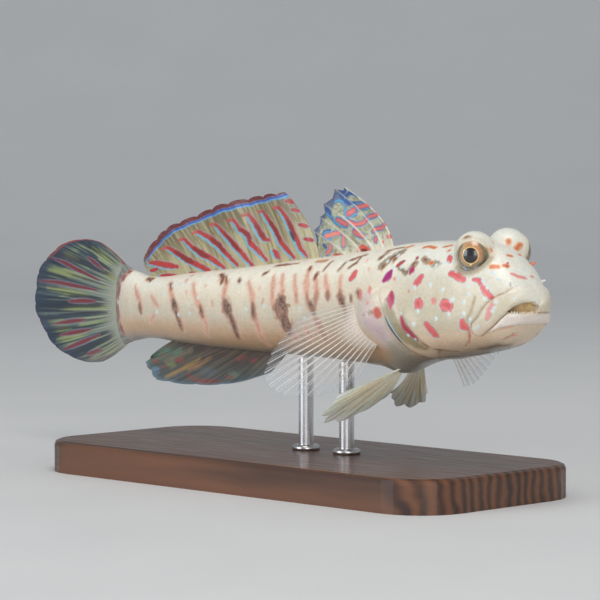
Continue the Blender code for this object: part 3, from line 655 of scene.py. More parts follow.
def wood_material():
    """Dark, oiled wood with its grain along the base."""
    nodes = Nodes("stand_wood")
    stretch = nodes.add("Mapping", Vector=nodes.place())
    stretch.inputs["Scale"].default_value = (14.0, 150.0, 150.0)
    figure = nodes.noise(stretch.outputs["Vector"], 1.2, 5.0, 0.6)
    rings = nodes.add("TexWave", {"bands_direction": "Y"}, Scale=1.1, Distortion=6.0, Detail=3.0)
    nodes.put(rings.inputs["Vector"], stretch.outputs["Vector"])
    blend = nodes.add("Mix", {"data_type": "FLOAT"})
    blend.inputs["Factor"].default_value = 0.55
    nodes.put(blend.inputs[2], rings.outputs["Fac"])
    nodes.put(blend.inputs[3], figure)
    pores = nodes.noise(stretch.outputs["Vector"], 9.0, 4.0, 0.7)
    return nodes.finish(
        Base_Color=nodes.ramp(blend.outputs[0], (52, 30, 20), (112, 70, 44), (0.25, 0.8)),
        Roughness=nodes.spread(pores, 0.32, 0.5),
        Normal=nodes.bump(pores, 0.2, 0.0001),
        Coat_Weight=0.25,
        Coat_Roughness=0.2,
    )


def steel_material():
    """Brushed steel, with fine lines round the rods."""
    nodes = Nodes("stand_steel")
    stretch = nodes.add("Mapping", Vector=nodes.place())
    stretch.inputs["Scale"].default_value = (200.0, 200.0, 9000.0)
    lines = nodes.noise(stretch.outputs["Vector"], 1.0, 3.0, 0.6)
    return nodes.finish(
        Base_Color=nodes.ramp(lines, (196, 196, 198), (206, 206, 208)),
        Metallic=1.0,
        Roughness=nodes.spread(lines, 0.26, 0.32),
        Normal=nodes.bump(lines, 0.03, 0.00002),
    )


def studio_material():
    nodes = Nodes("studio_floor")
    grain = nodes.noise(nodes.place(), 30.0, 4.0)
    colour = nodes.ramp(grain, (214, 216, 218), (222, 223, 224))
    return nodes.finish(Base_Color=colour, Roughness=nodes.spread(grain, 0.55, 0.65))


# Skin: head, trunk and tail stalk as one grid of rows round the body

COLUMNS = 384
HEAD_ROWS = 230
TRUNK_ROWS = 380
HEAD_CROWDING = 1.6
TIP_ROWS = (0.03, 0.08, 0.16, 0.26, 0.38, 0.52, 0.68, 0.84)  # small rings round the snout's blunt tip
MOUND_ROWS = (96, 118)  # the rows over the steep fronts of the eyes' mounds, set three times as close
TURNS = -180.0 + 360.0 * np.arange(COLUMNS) / COLUMNS
TAIL_END = 93.4  # where the skin ends at the ridge and the belly
TAIL_ARC = 2.0  # how much further back it ends at the sides
TAIL_CLOSING = 3.0  # length over which it thins towards its end
TAIL_THIN = 0.1  # share of its thickness that is left there
RIM_AHEAD = 0.5  # how far the flap's rim stands ahead of the solid's
FLARE = 0.38  # how far the gill cover's rim stands out from the body
FLARE_LONG = 3.0  # and the length over which it rises
SLIT_SUNK = 0.3  # how deep the body lies behind the slit
SLIT_RECOVERY = 2.6  # and the length over which it rises again
FLAP_STEP = 0.03  # least distance between the flap's rows, where the slit is closed
# From the rim round to the slit's floor: step back, lift over the body
FLAP_TUCK = ((0.05, 0.27), (0.0, 0.12), (-0.3, -0.1), (-0.6, -0.35), (-0.4, -0.55), (0.0, -0.5))

# Mouth opening, seen from the front: out, upper edge's rise, lower edge's rise
MOUTH_GAPE = (
    (0.1, 1.25, 0.0),
    (0.35, 1.55, -0.04),
    (0.8, 1.62, -0.06),
    (2.2, 1.4, -0.1),
    (3.3, 1.0, -0.02),
    (3.85, 0.5, 0.12),
    (4.15, 0.25, 0.25),
)
LEFT_GAPE = 0.12  # the lips nearly touch on the left
GAPE_END = -0.25  # how far past the middle the opening goes
MOUTH_DEEP = 2.2
MOUTH_EDGE = 0.2  # width over which the lips turn in
MOUTH_LONG = 3.5  # nothing further back is drawn in
SHUT_DEEP = 0.2  # depth of the closed part, as a share
CORNER_STEEP = 0.8  # how steeply the opening deepens from its corner

# Lips, as lines of (back, turn) on the right. The upper lip hangs over the open side of the mouth
LIP_TOP = (
    (1.15, 0), (1.2, 14), (1.5, 38), (2.3, 63), (3.4, 73), (4.5, 81), (5.6, 89.5), (6.7, 98), (7.0, 106),
    (6.9, 115), (6.5, 121), (6.0, 123), (5.4, 120.5), (4.6, 115.5), (4.0, 111.5), (3.2, 105), (2.3, 96),
    (1.8, 90.5),
)
OPEN_EDGE = ((1.2, 83), (0.7, 75), (0.3, 62), (0.06, 40), (0.0, 40))
SHUT_EDGE = ((1.2, 93.5), (0.6, 99.5), (0.2, 122), (0.12, 150), (0.1, 180), (0.0, 180))
LOWER_EDGE = (
    (1.8, 91.5), (2.4, 97.5), (3.2, 107), (4.2, 114.5), (5.0, 119.5), (4.0, 118.5), (2.9, 117), (1.8, 122),
    (1.2, 134), (0.75, 170), (0.75, 180),
)
UPPER_LIP = (LIP_TOP + OPEN_EDGE, LIP_TOP + SHUT_EDGE)
LOWER_LIP = (SHUT_EDGE[::-1] + LOWER_EDGE,) * 2
UPPER_LIP_FORM = (0.4, 0.75, 0.15)  # height, width of the rounded shoulder, depth of the groove outside it
LOWER_LIP_FORM = (0.32, 0.7, 0.04)
LIPS_LONG = 9.5  # no lip or groove lies further back
GROOVE_WIDE = 0.2
# Creases of the face and throat: the line's points, then its depth and width
FOLDS = (
    ((2.3, 146), (1.9, 153), 0.08, 0.15),
    ((3.7, 146), (2.9, 146), (2.2, 150), 0.1, 0.16),
    ((6.4, 76), (6.6, 81), (6.9, 87), (7.5, 91), (7.6, 100), 0.1, 0.2),
    ((7.6, 110), (8.2, 128), (9.6, 140), 0.1, 0.22),
    ((14.9, 144), (17.0, 163), (17.6, 176), 0.16, 0.3),
    ((8.3, 172), (12.0, 168), (15.0, 160), 0.12, 0.3),
    ((23.5, 68), (24.8, 72), (25.9, 76), (27.8, 83), 0.12, 0.3),
)
OPERCLE_FOLD = ((19.5, 86), (19.1, 92), (18.4, 100), (17.8, 106), (16.7, 116), (15.4, 132), (14.4, 144))


def whole_outline(sides):
    """The right side of a lip and the mirror image of its left side, as one closed line laid flat."""
    right, left = sides
    line = list(right) + mirrored(left)[::-1]
    return polar_map(*(np.array(column, float) for column in zip(*line)))


def mirrored(points):
    return [(back, -turn) for back, turn in points]


def line_on_skin(points, steps=4):
    """A line of (back, turn) points as places on the skin, in millimetres."""
    backs, turns = (np.array(column, float) for column in zip(*points))
    marks = np.arange(len(backs))
    shares = np.linspace(0, len(backs) - 1, (len(backs) - 1) * steps + 1)
    return skin_place(np.interp(shares, marks, backs), np.interp(shares, marks, turns)) / MM


def polar_map(back, turn):
    """Places on the head laid flat round the snout."""
    angle = np.radians(turn)
    reach = np.sqrt(back)
    return np.stack([reach * np.sin(angle), reach * np.cos(angle)], axis=-1)


def inside_outline(spots, outline):
    """True where a flat spot lies inside a closed outline."""
    inside = np.zeros(len(spots), bool)
    for (x0, y0), (x1, y1) in zip(outline, np.roll(outline, -1, axis=0)):
        crosses = (y0 > spots[:, 1]) != (y1 > spots[:, 1])
        at = x0 + (spots[:, 1] - y0) * (x1 - x0) / (y1 - y0 if y1 != y0 else 1e-9)
        inside ^= crosses & (spots[:, 0] < at)
    return inside


def raised_lip(points, back, turn, sides, form):
    """Lift of a rounded lip with a groove just outside it, both fainter towards the middle of the snout."""
    height, shoulder, groove = form
    lift = np.zeros(len(points))
    near = np.flatnonzero(back < LIPS_LONG)
    right, left = sides
    lines = (line_on_skin(right), line_on_skin(mirrored(left)))
    gap = np.minimum.reduce([distance_to(points[near], line)[0] for line in lines])
    inside = inside_outline(polar_map(back[near], turn[near]), whole_outline(sides))
    round_body = np.abs(turn[near])
    crisp = smooth_step(25.0, 65.0, round_body) * (1 - 0.6 * smooth_step(120.0, 150.0, round_body))
    share = np.clip(gap / (shoulder * (2.2 - 1.2 * crisp)), 0.0, 1.0)
    raised = height * (0.65 + 0.35 * crisp) * np.sqrt(1 - (1 - share) ** 2)
    sunk = -groove * (0.1 + 0.9 * crisp) * np.exp(-((gap / GROOVE_WIDE) ** 2))
    lift[near] = np.where(inside, raised, sunk)
    return lift


def slit_opening(turn):
    """How far the gill cover stands open at each turn, from 0 to 1."""
    turn = np.abs(turn)
    return smooth_step(66.0, 92.0, turn) * (1 - 0.75 * smooth_step(150.0, 172.0, turn))


def head_shares():
    """Where each row of the head lies, as a share of the count of even rows."""
    thirds = set(range(3, 3 * HEAD_ROWS + 1, 3)) | set(range(3 * MOUND_ROWS[0], 3 * MOUND_ROWS[1]))
    return np.array(TIP_ROWS + tuple(row / 3 for row in sorted(thirds))) / HEAD_ROWS


def skin_rows():
    """Back and lift of every point, row by row from the snout to the tail."""
    opening = slit_opening(TURNS)
    rim = gill_edge(TURNS) - RIM_AHEAD * opening - 0.4 * smooth_step(110.0, 150.0, np.abs(TURNS))
    end = TAIL_END + TAIL_ARC * np.sin(np.radians(TURNS)) ** 2
    rows = []
    for share in head_shares():
        back = rim * share**HEAD_CROWDING
        rows.append((back, FLARE * opening * smooth_step(-FLARE_LONG, 0.0, back - rim)))
    for i, (step, lift) in enumerate(FLAP_TUCK):
        rows.append((rim + step * opening + FLAP_STEP * (i + 1) * (1 - opening), lift * opening))
    start = rim + FLAP_STEP * (len(FLAP_TUCK) + 1)
    for i in range(TRUNK_ROWS + 1):
        back = start + (end - start) * i / TRUNK_ROWS
        rows.append((back, -SLIT_SUNK * opening * (1 - smooth_step(0.0, SLIT_RECOVERY, back - start))))
    backs, lifts = (np.array(column) for column in zip(*rows))
    return backs, lifts, end


def skin_ways(back, turn):
    """Unit directions straight out of the skin."""
    step_back, step_turn = 0.06, 0.6
    along = skin_place(back + step_back, turn) - skin_place(np.maximum(back - step_back, 0.0), turn)
    round_body = skin_place(back, turn + step_turn) - skin_place(back, turn - step_turn)
    way = np.cross(along, round_body)
    return way / np.maximum(np.linalg.norm(way, axis=-1, keepdims=True), 1e-12)


def mouth_depth(out, rise, back):
    """How far each point of the snout is drawn back to open the mouth."""
    spans, uppers, lowers = (np.array(column) for column in zip(*MOUTH_GAPE))
    upper = np.interp(np.abs(out), spans, uppers)
    lower = np.interp(np.abs(out), spans, lowers)
    shut = out < GAPE_END
    upper = np.where(shut, lower + LEFT_GAPE, upper)
    edge = np.where(shut, LEFT_GAPE * 0.5, MOUTH_EDGE)
    inner = np.minimum.reduce([upper - rise, rise - lower, (spans[-1] - np.abs(out)) * CORNER_STEEP])
    deep = np.where(shut, MOUTH_DEEP * SHUT_DEEP, MOUTH_DEEP * smooth_step(GAPE_END - 0.3, 1.1, out))
    return np.where(back < MOUTH_LONG, deep * smooth_step(0.0, edge, inner), 0.0)


SOCKET_TURN = 66.0  # how far round the eyeball the lid's rim lies from the middle of its opening, in degrees
SOCKET_EDGE = 4.0
SOCKET_DROOP = 24.0  # how far below the pupil's direction that middle lies
SOCKET_REACH = 1.9  # how far from the eye's centre its socket shapes the skin, in radii
SEAT_DEEP = 0.3  # how far the skin behind the eye's front lies under its surface
SEAT_FADE = (0.2, 0.9)  # heights over the eyeball between which the skin is no longer drawn in
LID_THICK = 0.13  # how far the lid stands over the eyeball, less LID_SUNK at its very rim
LID_SUNK = 0.05


def turn_from_opening(side, offset):
    """Degrees between the middle of an eye's opening and the way to each point, and the reach to it."""
    _, look, _ = eye_frame(side)
    droop = math.radians(SOCKET_DROOP)
    opening = look * math.cos(droop) - np.array([0.0, 0.0, math.sin(droop)])
    reach = np.linalg.norm(offset, axis=1)
    return np.degrees(np.arccos(np.clip(offset @ opening / np.maximum(reach, 1e-9), -1.0, 1.0))), reach


def seat_eyes(points):
    """Draws the skin in behind the front of each eyeball and round its back, to a rim about it."""
    points = points.copy()
    stretch = np.array([1.0, 1.0, 1.0 / EYE_TALL])
    for side in (1, -1):
        centre = eye_frame(side)[0]
        offset = (points - centre) * stretch
        turn, reach = turn_from_opening(side, offset)
        near = np.flatnonzero(reach < EYE_RADIUS * SOCKET_REACH)
        offset, reach, turn = offset[near], reach[near], turn[near]
        hidden = 1 - smooth_step(SOCKET_TURN - SOCKET_EDGE, SOCKET_TURN + SOCKET_EDGE, turn)
        fade_low, fade_high = (EYE_RADIUS + height for height in SEAT_FADE)
        hidden = hidden * (1 - smooth_step(fade_low, fade_high, reach))
        seated = reach * (1 - hidden) + np.minimum(reach, EYE_RADIUS - SEAT_DEEP) * hidden
        rim = LID_THICK * smooth_step(SOCKET_TURN, SOCKET_TURN + 8.0, turn)
        cup = np.where(turn > SOCKET_TURN, np.maximum(seated, EYE_RADIUS + rim - LID_SUNK), seated)
        points[near] = centre + offset * (cup / np.maximum(reach, 1e-9))[:, None] / stretch
    return points


HEAD_LONG = 31.0  # all creases lie ahead of this
PLATE_SWELL = (0.26, 1.6)  # height and width of the gill cover's plate ahead of its fold
PLATE_SUNK = (0.16, 0.5)  # depth and width of the hollow behind the fold


def fold_lift(points, back):
    """Creases of the head and throat, and the step of the gill cover's front plate."""
    lift = np.zeros(len(points))
    near = np.flatnonzero(back < HEAD_LONG)
    for *path, depth, width in FOLDS:
        for side_path in (path, mirrored(path)):
            gap, _ = distance_to(points[near], line_on_skin(side_path))
            lift[near] -= depth * np.exp(-((gap / width) ** 2))
    for path in (OPERCLE_FOLD, mirrored(OPERCLE_FOLD)):
        gap, along = distance_to(points[near], line_on_skin(path))
        edge_back = np.interp(along, np.linspace(0, 1, len(path)), [spot[0] for spot in path])
        ahead = back[near] < edge_back
        fade = smooth_step(0.0, 0.15, along) * (1 - smooth_step(0.8, 1.0, along))
        (high, wide), (deep, narrow) = PLATE_SWELL, PLATE_SUNK
        step = np.where(ahead, high * np.exp(-((gap / wide) ** 2)), -deep * np.exp(-((gap / narrow) ** 2)))
        lift[near] += step * np.where((along > 0) & (along < 1), fade, 0.0)
    return lift


RELIEF = ((0.05, 1.6, 5), (0.025, 0.5, 6))  # height, size of the lumps and seed of the skin's unevenness
DOT_HIGH = 0.07
DOT_HALF = 0.16


def skin_shape():
    """Points of the skin in metres, with where each lies on the plain body."""
    back, lift, end = skin_rows()
    turn = np.broadcast_to(TURNS, back.shape)
    out, rise = body_section(back, turn)
    closing = np.clip((end - back) / TAIL_CLOSING, 0.0, 1.0)
    out = out * np.maximum(np.sqrt(1 - (1 - closing) ** 2), TAIL_THIN)
    base = place(back, out, rise)
    back, turn, out, rise = (values.ravel() for values in (back, turn, out, rise))
    points = base.reshape(-1, 3) / MM
    ways = skin_ways(back, turn)
    lift = lift.ravel()
    upper = raised_lip(points, back, turn, UPPER_LIP, UPPER_LIP_FORM)
    lower = raised_lip(points, back, turn, LOWER_LIP, LOWER_LIP_FORM)
    lift = lift + np.where(np.abs(upper) > np.abs(lower), upper, lower) + fold_lift(points, back)
    lift += sum(height * (noise(points, lump, seed) - 0.5) for height, lump, seed in RELIEF)
    for dot in BLUE_DOTS:
        for spot in (dot, *mirrored([dot])):
            gap = np.linalg.norm(points - line_on_skin([spot, spot])[0], axis=1)
            lift += DOT_HIGH * np.exp(-((gap / DOT_HALF) ** 2))
    deep = mouth_depth(out, rise, back)
    lift = lift * (1 - 0.5 * smooth_step(0.5, MOUTH_DEEP, deep))
    moved = points + ways * lift[:, None] - forward_at(back) * deep[:, None]
    moved = seat_eyes(moved) * MM
    return moved, points, back, turn, deep, lift


# Marks on the skin, as (back, turn) along each and half its width in millimetres

SALMON_MARKS = (
    (((17.5, 68), (16.7, 61)), 0.54),
    (((15.0, 97), (14.3, 104), (13.5, 113)), 0.5),
    (((11.4, 57), (10.5, 58), (9.5, 61), (8.7, 62)), 0.5),
    (((7.1, 61), (6.2, 60), (5.5, 65)), 0.28),
    (((5.4, 66), (4.6, 70), (3.8, 73)), 0.44),
    (((3.4, 80), (3.8, 86), (4.2, 94)), 0.36),
    (((8.4, 95), (8.3, 101), (7.7, 104)), 0.6),
    (((12.8, 39), (12.3, 45)), 0.42),
    (((31.5, 55), (31.7, 59), (32.0, 61)), 0.62),
)
PLAIN_SALMON_MARKS = (
    (((29.0, 74), (28.4, 81)), 0.42),
    (((26.9, 71), (26.6, 76)), 0.36),
    (((2.7, 27), (2.1, 19), (1.7, 6)), 0.3),
    (((1.9, -7), (1.9, -13)), 0.3),
    (((18.7, 73), (18.6, 74)), 0.22),
    (((26.2, 83), (26.5, 85)), 0.22),
    (((22.2, 64), (21.9, 63)), 0.24),
    (((13.8, 79), (13.4, 80)), 0.6),
    (((7.5, 103), (7.4, 110), (7.5, 120)), 0.16),
)
# Deep red and purple spots of the gill cover and shoulder
DEEP_MARKS = (
    (((24.2, 65), (23.6, 61), (23.3, 56)), 0.66, tone(190, 34, 134)),
    (((22.2, 75), (22.1, 81), (22.0, 86)), 0.6, tone(200, 46, 92)),
    (((19.2, 58), (18.9, 52)), 0.48, tone(204, 54, 108)),
    (((21.4, 45), (22.5, 51)), 0.34, tone(206, 78, 72)),
    (((19.1, 42), (19.0, 40)), 0.34, tone(194, 84, 82)),
)
ROUND_MARKS = (
    (((16.6, 82), (16.5, 82)), 0.76),
    (((11.7, 82), (10.8, 83)), 0.76),
)
ORANGE_MARKS = (
    (((23.1, 23), (22.4, 20)), 0.34),
    (((19.3, 25), (18.6, 23), (17.0, 26)), 0.34),
    (((15.4, 24), (14.3, 21)), 0.28),
    (((13.8, 31), (13.7, 30)), 0.24),
    (((15.9, 47), (15.6, 47)), 0.36),
    (((4.8, 8), (4.6, 4)), 0.28),
    (((4.9, -11), (5.0, -14)), 0.24),
    (((5.1, 40), (4.4, 35)), 0.36),
    (((3.9, 27), (3.6, 23)), 0.32),
    (((42.7, 24), (41.3, 25), (40.2, 25)), 0.2),
)
# Orange spots on the fronts of the eyes' mounds, each one on its own side
MOUND_MARKS = (
    (((7.1, 12), (7.2, 10)), 0.2),
    (((6.5, 32), (6.4, 30)), 0.28),
    (((6.4, 23), (6.4, 22)), 0.2),
    (((7.3, -11), (7.2, -11)), 0.4),
    (((6.5, -19), (6.4, -25)), 0.4),
)
PALE_MARKS = (
    (((52.8, 65), (52.6, 67)), 0.3),
    (((70.7, 64), (70.5, 66)), 0.3),
    (((66.2, 54), (66.0, 56)), 0.3),
    (((51.6, 85), (51.4, 87)), 0.25),
    (((63.7, 84), (63.5, 86)), 0.25),
    (((28.4, 54), (28.6, 51)), 0.26),
    (((30.0, 41), (30.2, 38)), 0.26),
)
BROWN_MARKS = (
    (((27.1, 39), (26.9, 36)), 0.28),
    (((25.4, 53), (25.3, 48)), 0.3),
    (((27.0, 26), (26.1, 25)), 0.28),
    (((25.9, 23), (23.8, 22)), 0.14),
    (((23.7, 45), (23.6, 40)), 0.26),
    (((24.8, 42), (23.9, 36)), 0.2),
    (((17.5, 42), (17.0, 44)), 0.22),
    (((19.3, 50), (19.0, 46)), 0.22),
    (((31.5, 27), (32.5, 29), (34.4, 33)), 0.2),
    (((33.2, 33), (34.5, 35), (35.2, 38), (35.4, 44), (35.7, 49)), 0.2),
    (((32.3, 31), (32.4, 41), (33.5, 47)), 0.24),
    (((38.7, 30), (39.0, 37), (39.3, 47)), 0.15),
    (((42.9, 37), (42.7, 44)), 0.24),
    (((42.7, 27), (41.3, 28), (40.2, 28)), 0.14),
    (((40.4, 51), (40.6, 57)), 0.34),
    (((51.8, 24), (49.2, 25)), 0.34),
    (((49.4, 26), (46.7, 25)), 0.14),
    (((53.1, 42), (52.4, 38)), 0.3),
    (((63.9, 30), (62.6, 40), (62.4, 52)), 0.34),
    (((61.1, 53), (62.0, 38)), 0.16),
    (((75.8, 46), (75.0, 58)), 0.26),
    (((84.1, 20), (82.4, 23)), 0.36),
    (((84.3, 17), (82.6, 32)), 0.24),
    (((58.4, 48), (58.0, 52)), 0.28),
    (((9.2, 36), (8.6, 34)), 0.26),
)
OLIVE_PATCHES = (
    (((21.8, 53), (20.0, 58)), 0.42),
    (((19.8, 56), (18.6, 48)), 0.46),
    (((17.5, 43), (15.8, 47), (14.4, 48)), 0.55),
    (((23.3, 31), (23.9, 38), (24.9, 43), (25.6, 49)), 0.85),
    (((27.2, 38), (26.4, 30)), 0.4),
)
BLUE_DOTS = (
    (10.4, 55), (7.7, 67), (5.5, 59), (4.5, 45), (2.7, -1), (4.6, 64), (4.7, 76), (7.5, 74), (8.2, 80),
    (10.1, 78), (12.2, 71), (8.1, 88), (7.0, 93), (10.8, 88), (3.1, 78), (3.2, 84), (3.4, 87), (5.6, 104),
    (6.2, 106), (1.1, 65), (3.6, 49), (12.6, 35), (23.4, 37), (25.0, 44), (23.0, 52), (21.4, 52), (16.1, 51),
    (14.6, 49), (12.6, 47), (14.7, 67), (17.3, 98), (13.1, 91), (10.4, 79), (16.6, 87), (17.6, 70),
    (21.3, 62),
    (81.3, 36), (75.0, 50), (72.9, 48), (69.7, 84), (69.3, 95), (76.7, 68), (78.5, 94), (34.6, 37),
    (67.3, 74), (72.3, 97), (51.4, 87), (55.4, 89), (42.0, 99), (43.1, 90),
)
# Flank stripes: the salmon line, its dark part, half the width
STRIPES = (
    (((63.3, 42), (61.1, 50), (61.0, 64), (60.8, 76), (60.8, 90)), ((60.9, 78), (60.8, 90)), 0.5),
    (((59.4, 88), (58.4, 106), (57.8, 124)), ((59.1, 92), (58.7, 102)), 0.55),
    (
        ((55.8, 54), (54.2, 74), (53.8, 90), (53.0, 106), (52.7, 125), (52.1, 140)),
        ((53.9, 84), (53.4, 98)),
        0.52,
    ),
    (((50.4, 49), (49.7, 65), (49.4, 80), (48.8, 92)), (), 0.5),
    (((48.4, 48), (47.5, 68), (46.6, 88), (46.0, 98), (47.0, 112)), (), 0.5),
    (((45.5, 50), (44.2, 73), (44.0, 84)), (), 0.35),
    (((42.8, 38), (42.4, 58), (41.7, 74), (40.9, 89)), ((41.6, 76), (41.0, 88)), 0.5),
    (((40.5, 53), (39.4, 72), (39.5, 88)), ((39.5, 78), (39.5, 88)), 0.46),
    (((38.3, 54), (37.7, 64), (36.9, 72), (36.7, 80)), ((36.9, 74), (36.7, 82)), 0.42),
    (((34.5, 58), (34.1, 72), (33.7, 79), (33.6, 85)), ((33.9, 74), (33.6, 85)), 0.4),
    (((86.4, 52), (85.5, 65), (84.0, 78), (83.5, 88), (83.6, 94)), ((83.8, 84), (83.6, 94)), 0.45),
    (((80.6, 69), (79.3, 80), (78.2, 87)), (), 0.35),
    (((79.5, 100), (80.8, 111)), (), 0.35),
    (((76.0, 45), (74.6, 68), (73.1, 88), (71.6, 111), (71.4, 120)), (), 0.5),
    (((69.4, 50), (68.0, 73), (66.3, 90), (65.3, 108), (65.7, 126)), (), 0.52),
    (((83.7, 20), (83.6, 28)), (), 0.3),
    (((76.3, 42), (76.0, 46)), (), 0.3),
    (((71.9, 38), (71.7, 44)), (), 0.3),
    (((71.5, 23), (71.4, 28)), (), 0.3),
    (((39.4, 101), (38.4, 116)), (), 0.7),
    (((45.1, 119), (44.6, 126)), (), 0.7),
    (((42.0, 108), (41.2, 122)), (), 0.6),
)
DARK_PATCHES = (
    (((73.8, 79), (73.0, 93)), 0.74),
    (((73.0, 93), (72.3, 107), (72.1, 120)), 0.42),
    (((60.5, 81), (59.8, 88), (59.3, 95)), 0.92),
    (((59.2, 95), (58.5, 109), (58.3, 127)), 0.52),
    (((53.9, 86), (53.7, 97)), 0.4),
    (((47.4, 83), (47.3, 90), (46.9, 97)), 1.7),
    (((46.8, 98), (46.4, 106), (46.1, 114)), 1.2),
    (((40.7, 85), (39.8, 92)), 0.5),
    (((34.0, 78), (32.8, 87)), 0.62),
    (((32.4, 91), (31.6, 100), (30.4, 109)), 0.8),
    (((29.7, 75), (28.4, 81)), 0.4),
    (((31.3, 79), (31.0, 84)), 0.24),
    (((36.8, 75), (36.6, 81)), 0.3),
    (((66.5, 87), (66.1, 97)), 0.34),
    (((84.1, 86), (83.6, 97)), 0.4),
)
SOFT_PATCHES = (
    (((39.5, 95), (38.3, 109), (38.1, 121)), 0.7),
    (((44.2, 75), (43.6, 84)), 0.3),
    (((51.6, 80), (51.7, 86)), 0.22),
    (((63.7, 80), (63.5, 85)), 0.24),
    (((39.3, 74), (38.9, 81)), 0.36),
)

# Ground tones from the back's ridge to the belly: below the flank they are partly painted shade, with darker
# copies of the flank, face and jaw tones
GROUND_TURNS = (0.0, 45.0, 75.0, 95.0, 118.0, 140.0, 165.0, 180.0)
TRUNK_GROUND = (CREAM, CREAM, FLANK, FLANK * 0.86, LOW_FLANK, LOW_FLANK * 0.8, SHADED_UNDERSIDE, SHADED_UNDERSIDE)
HEAD_GROUND = (FOREHEAD, FOREHEAD, FACE, FACE * 0.9, JAW, JAW * 0.8, SHADED_UNDERSIDE * 0.7, SHADED_UNDERSIDE * 0.6)
TAIL_BORDER = 92.9
TAIL_BORDER_ARC = 2.6


def ground_of(back, turn):
    """The skin's ground colour before any marks, darker towards the belly partly as painted shade, head and
    trunk blended behind the gill cover.
    """
    turn = np.abs(turn)
    layers = []
    for tones in (HEAD_GROUND, TRUNK_GROUND):
        channels = [np.interp(turn, GROUND_TURNS, [shade[c] for shade in tones]) for c in range(3)]
        layers.append(np.stack(channels, axis=-1))
    share = smooth_step(17.0, 25.0, back)[:, None]
    return layers[0] * (1 - share) + layers[1] * share


RIDGE_TURN = 18  # marks nearer to the back's ridge have no twin on the other side


def mark_line(path, side=1):
    """A line of (back, turn) as it lies on the skin round the eyes, on the right or (-1) on the left."""
    return seat_eyes(line_on_skin([(back, turn * side) for back, turn in path]))


def both_sides(path, rng):
    """A mark on the right, and a slightly shifted twin on the left where it lies off the ridge."""
    yield mark_line(path)
    if min(abs(turn) for _, turn in path) > RIDGE_TURN:
        shift, slant = rng.uniform(-0.5, 0.5), rng.uniform(-3.0, 3.0)
        yield mark_line([(back + shift, turn + slant) for back, turn in path], -1)


def marks(table, rng):
    """The lines of a table's marks on both sides, each with its half width."""
    for path, width in table:
        for line in both_sides(path, rng):
            yield line, width


def lay_layers(paint, lines, layers):
    """Strokes of all layers over each line: share of its width, width besides, tone, and how each is laid."""
    for line, width in lines:
        for share, more, tone_of, *settings in layers:
            paint.stroke(line, width * share + more, tone_of, *settings)


def lay_lines(paint, table, side):
    """A table's strokes on one side: line, half width, tone, and how each is laid."""
    for path, width, tone_of, *settings in table:
        paint.stroke(mark_line(path, side), width, tone_of, *settings)


def edged_layers(fill, core, edge_tone, ends):
    """A filled spot with a darker core, a thin dark edge and a broken pale-blue outline."""
    return (
        (1, 0.3, PALE_BLUE, 0.14, 0.8, 0.25, 0.1, ends),
        (1, 0.12, edge_tone, 0.09, 0.75, 0.15, 0, ends),
        (1, 0, fill, 0.1, 0.95, 0.15, 0, ends),
        (0.45, 0, core, 0.16, 0.55, 0.5, 0, ends),
    )


# Layers of paint: share of the mark's half width, width besides, tone, softness of its edge in
# millimetres, strength, roughness of the edge, patchiness, and share of the width left at the ends
STRIPE_LAYERS = (
    (1.7, 0, tone(228, 194, 172), 0.6, 0.6, 0.35, 0, 0.6),
    (1.05, 0, tone(222, 166, 144), 0.4, 0.75, 0.4, 0, 0.5),
    (0.6, 0, tone(196, 118, 98), 0.35, 0.55, 0.6, 0.2, 0.5),
)
STRIPE_DARKS = ((1, 0, tone(150, 108, 86), 0.4, 0.6, 0.4, 0, 0.5),)
SOFT_LAYERS = ((1, 0, tone(180, 128, 102), 0.35, 0.7, 0.4, 0, 0.6),)
DARK_LAYERS = (
    (1, 0.25, tone(196, 150, 120), 0.45, 0.6, 0.4, 0, 0.7),
    (1, 0, tone(142, 106, 88), 0.45, 0.85, 0.3, 0, 0.6),
    (0.85, 0, tone(68, 48, 54), 0.45, 0.85, 0.4, 0.16, 0.6),
)
PALE_LAYERS = ((1, 0, tone(236, 186, 162), 0.2, 0.7, 0.2),)
OLIVE_LAYERS = (
    (1, 0, OLIVE, 0.25, 0.75, 0.45),
    (0.75, 0, tone(96, 74, 56), 0.2, 0.6, 0.7, 0.1),
)
BROWN_LAYERS = (
    (1, 0.2, tone(186, 146, 112), 0.2, 0.6, 0.3),
    (1, 0, tone(134, 84, 66), 0.14, 0.85, 0.4, 0, 0.6),
    (0.6, 0, tone(96, 54, 46), 0.12, 0.6, 0.6, 0, 0.6),
)
ORANGE_LAYERS = (
    (1, 0.16, tone(240, 206, 170), 0.16, 0.5, 0.1),
    (1, 0, tone(224, 136, 84), 0.12, 0.92, 0.12),
    (0.5, 0, tone(206, 104, 62), 0.12, 0.6, 0.3),
)
PLAIN_LAYERS = ((1, 0, tone(228, 132, 126), 0.14, 0.85, 0.15, 0, 0.6),)
SPOT_RIM = tone(142, 96, 118)
SALMON_LAYERS = edged_layers(SALMON, tone(200, 84, 92), SPOT_RIM, 0.75)
ROUND_LAYERS = edged_layers(SALMON, tone(176, 58, 78), SPOT_RIM, 1.0)

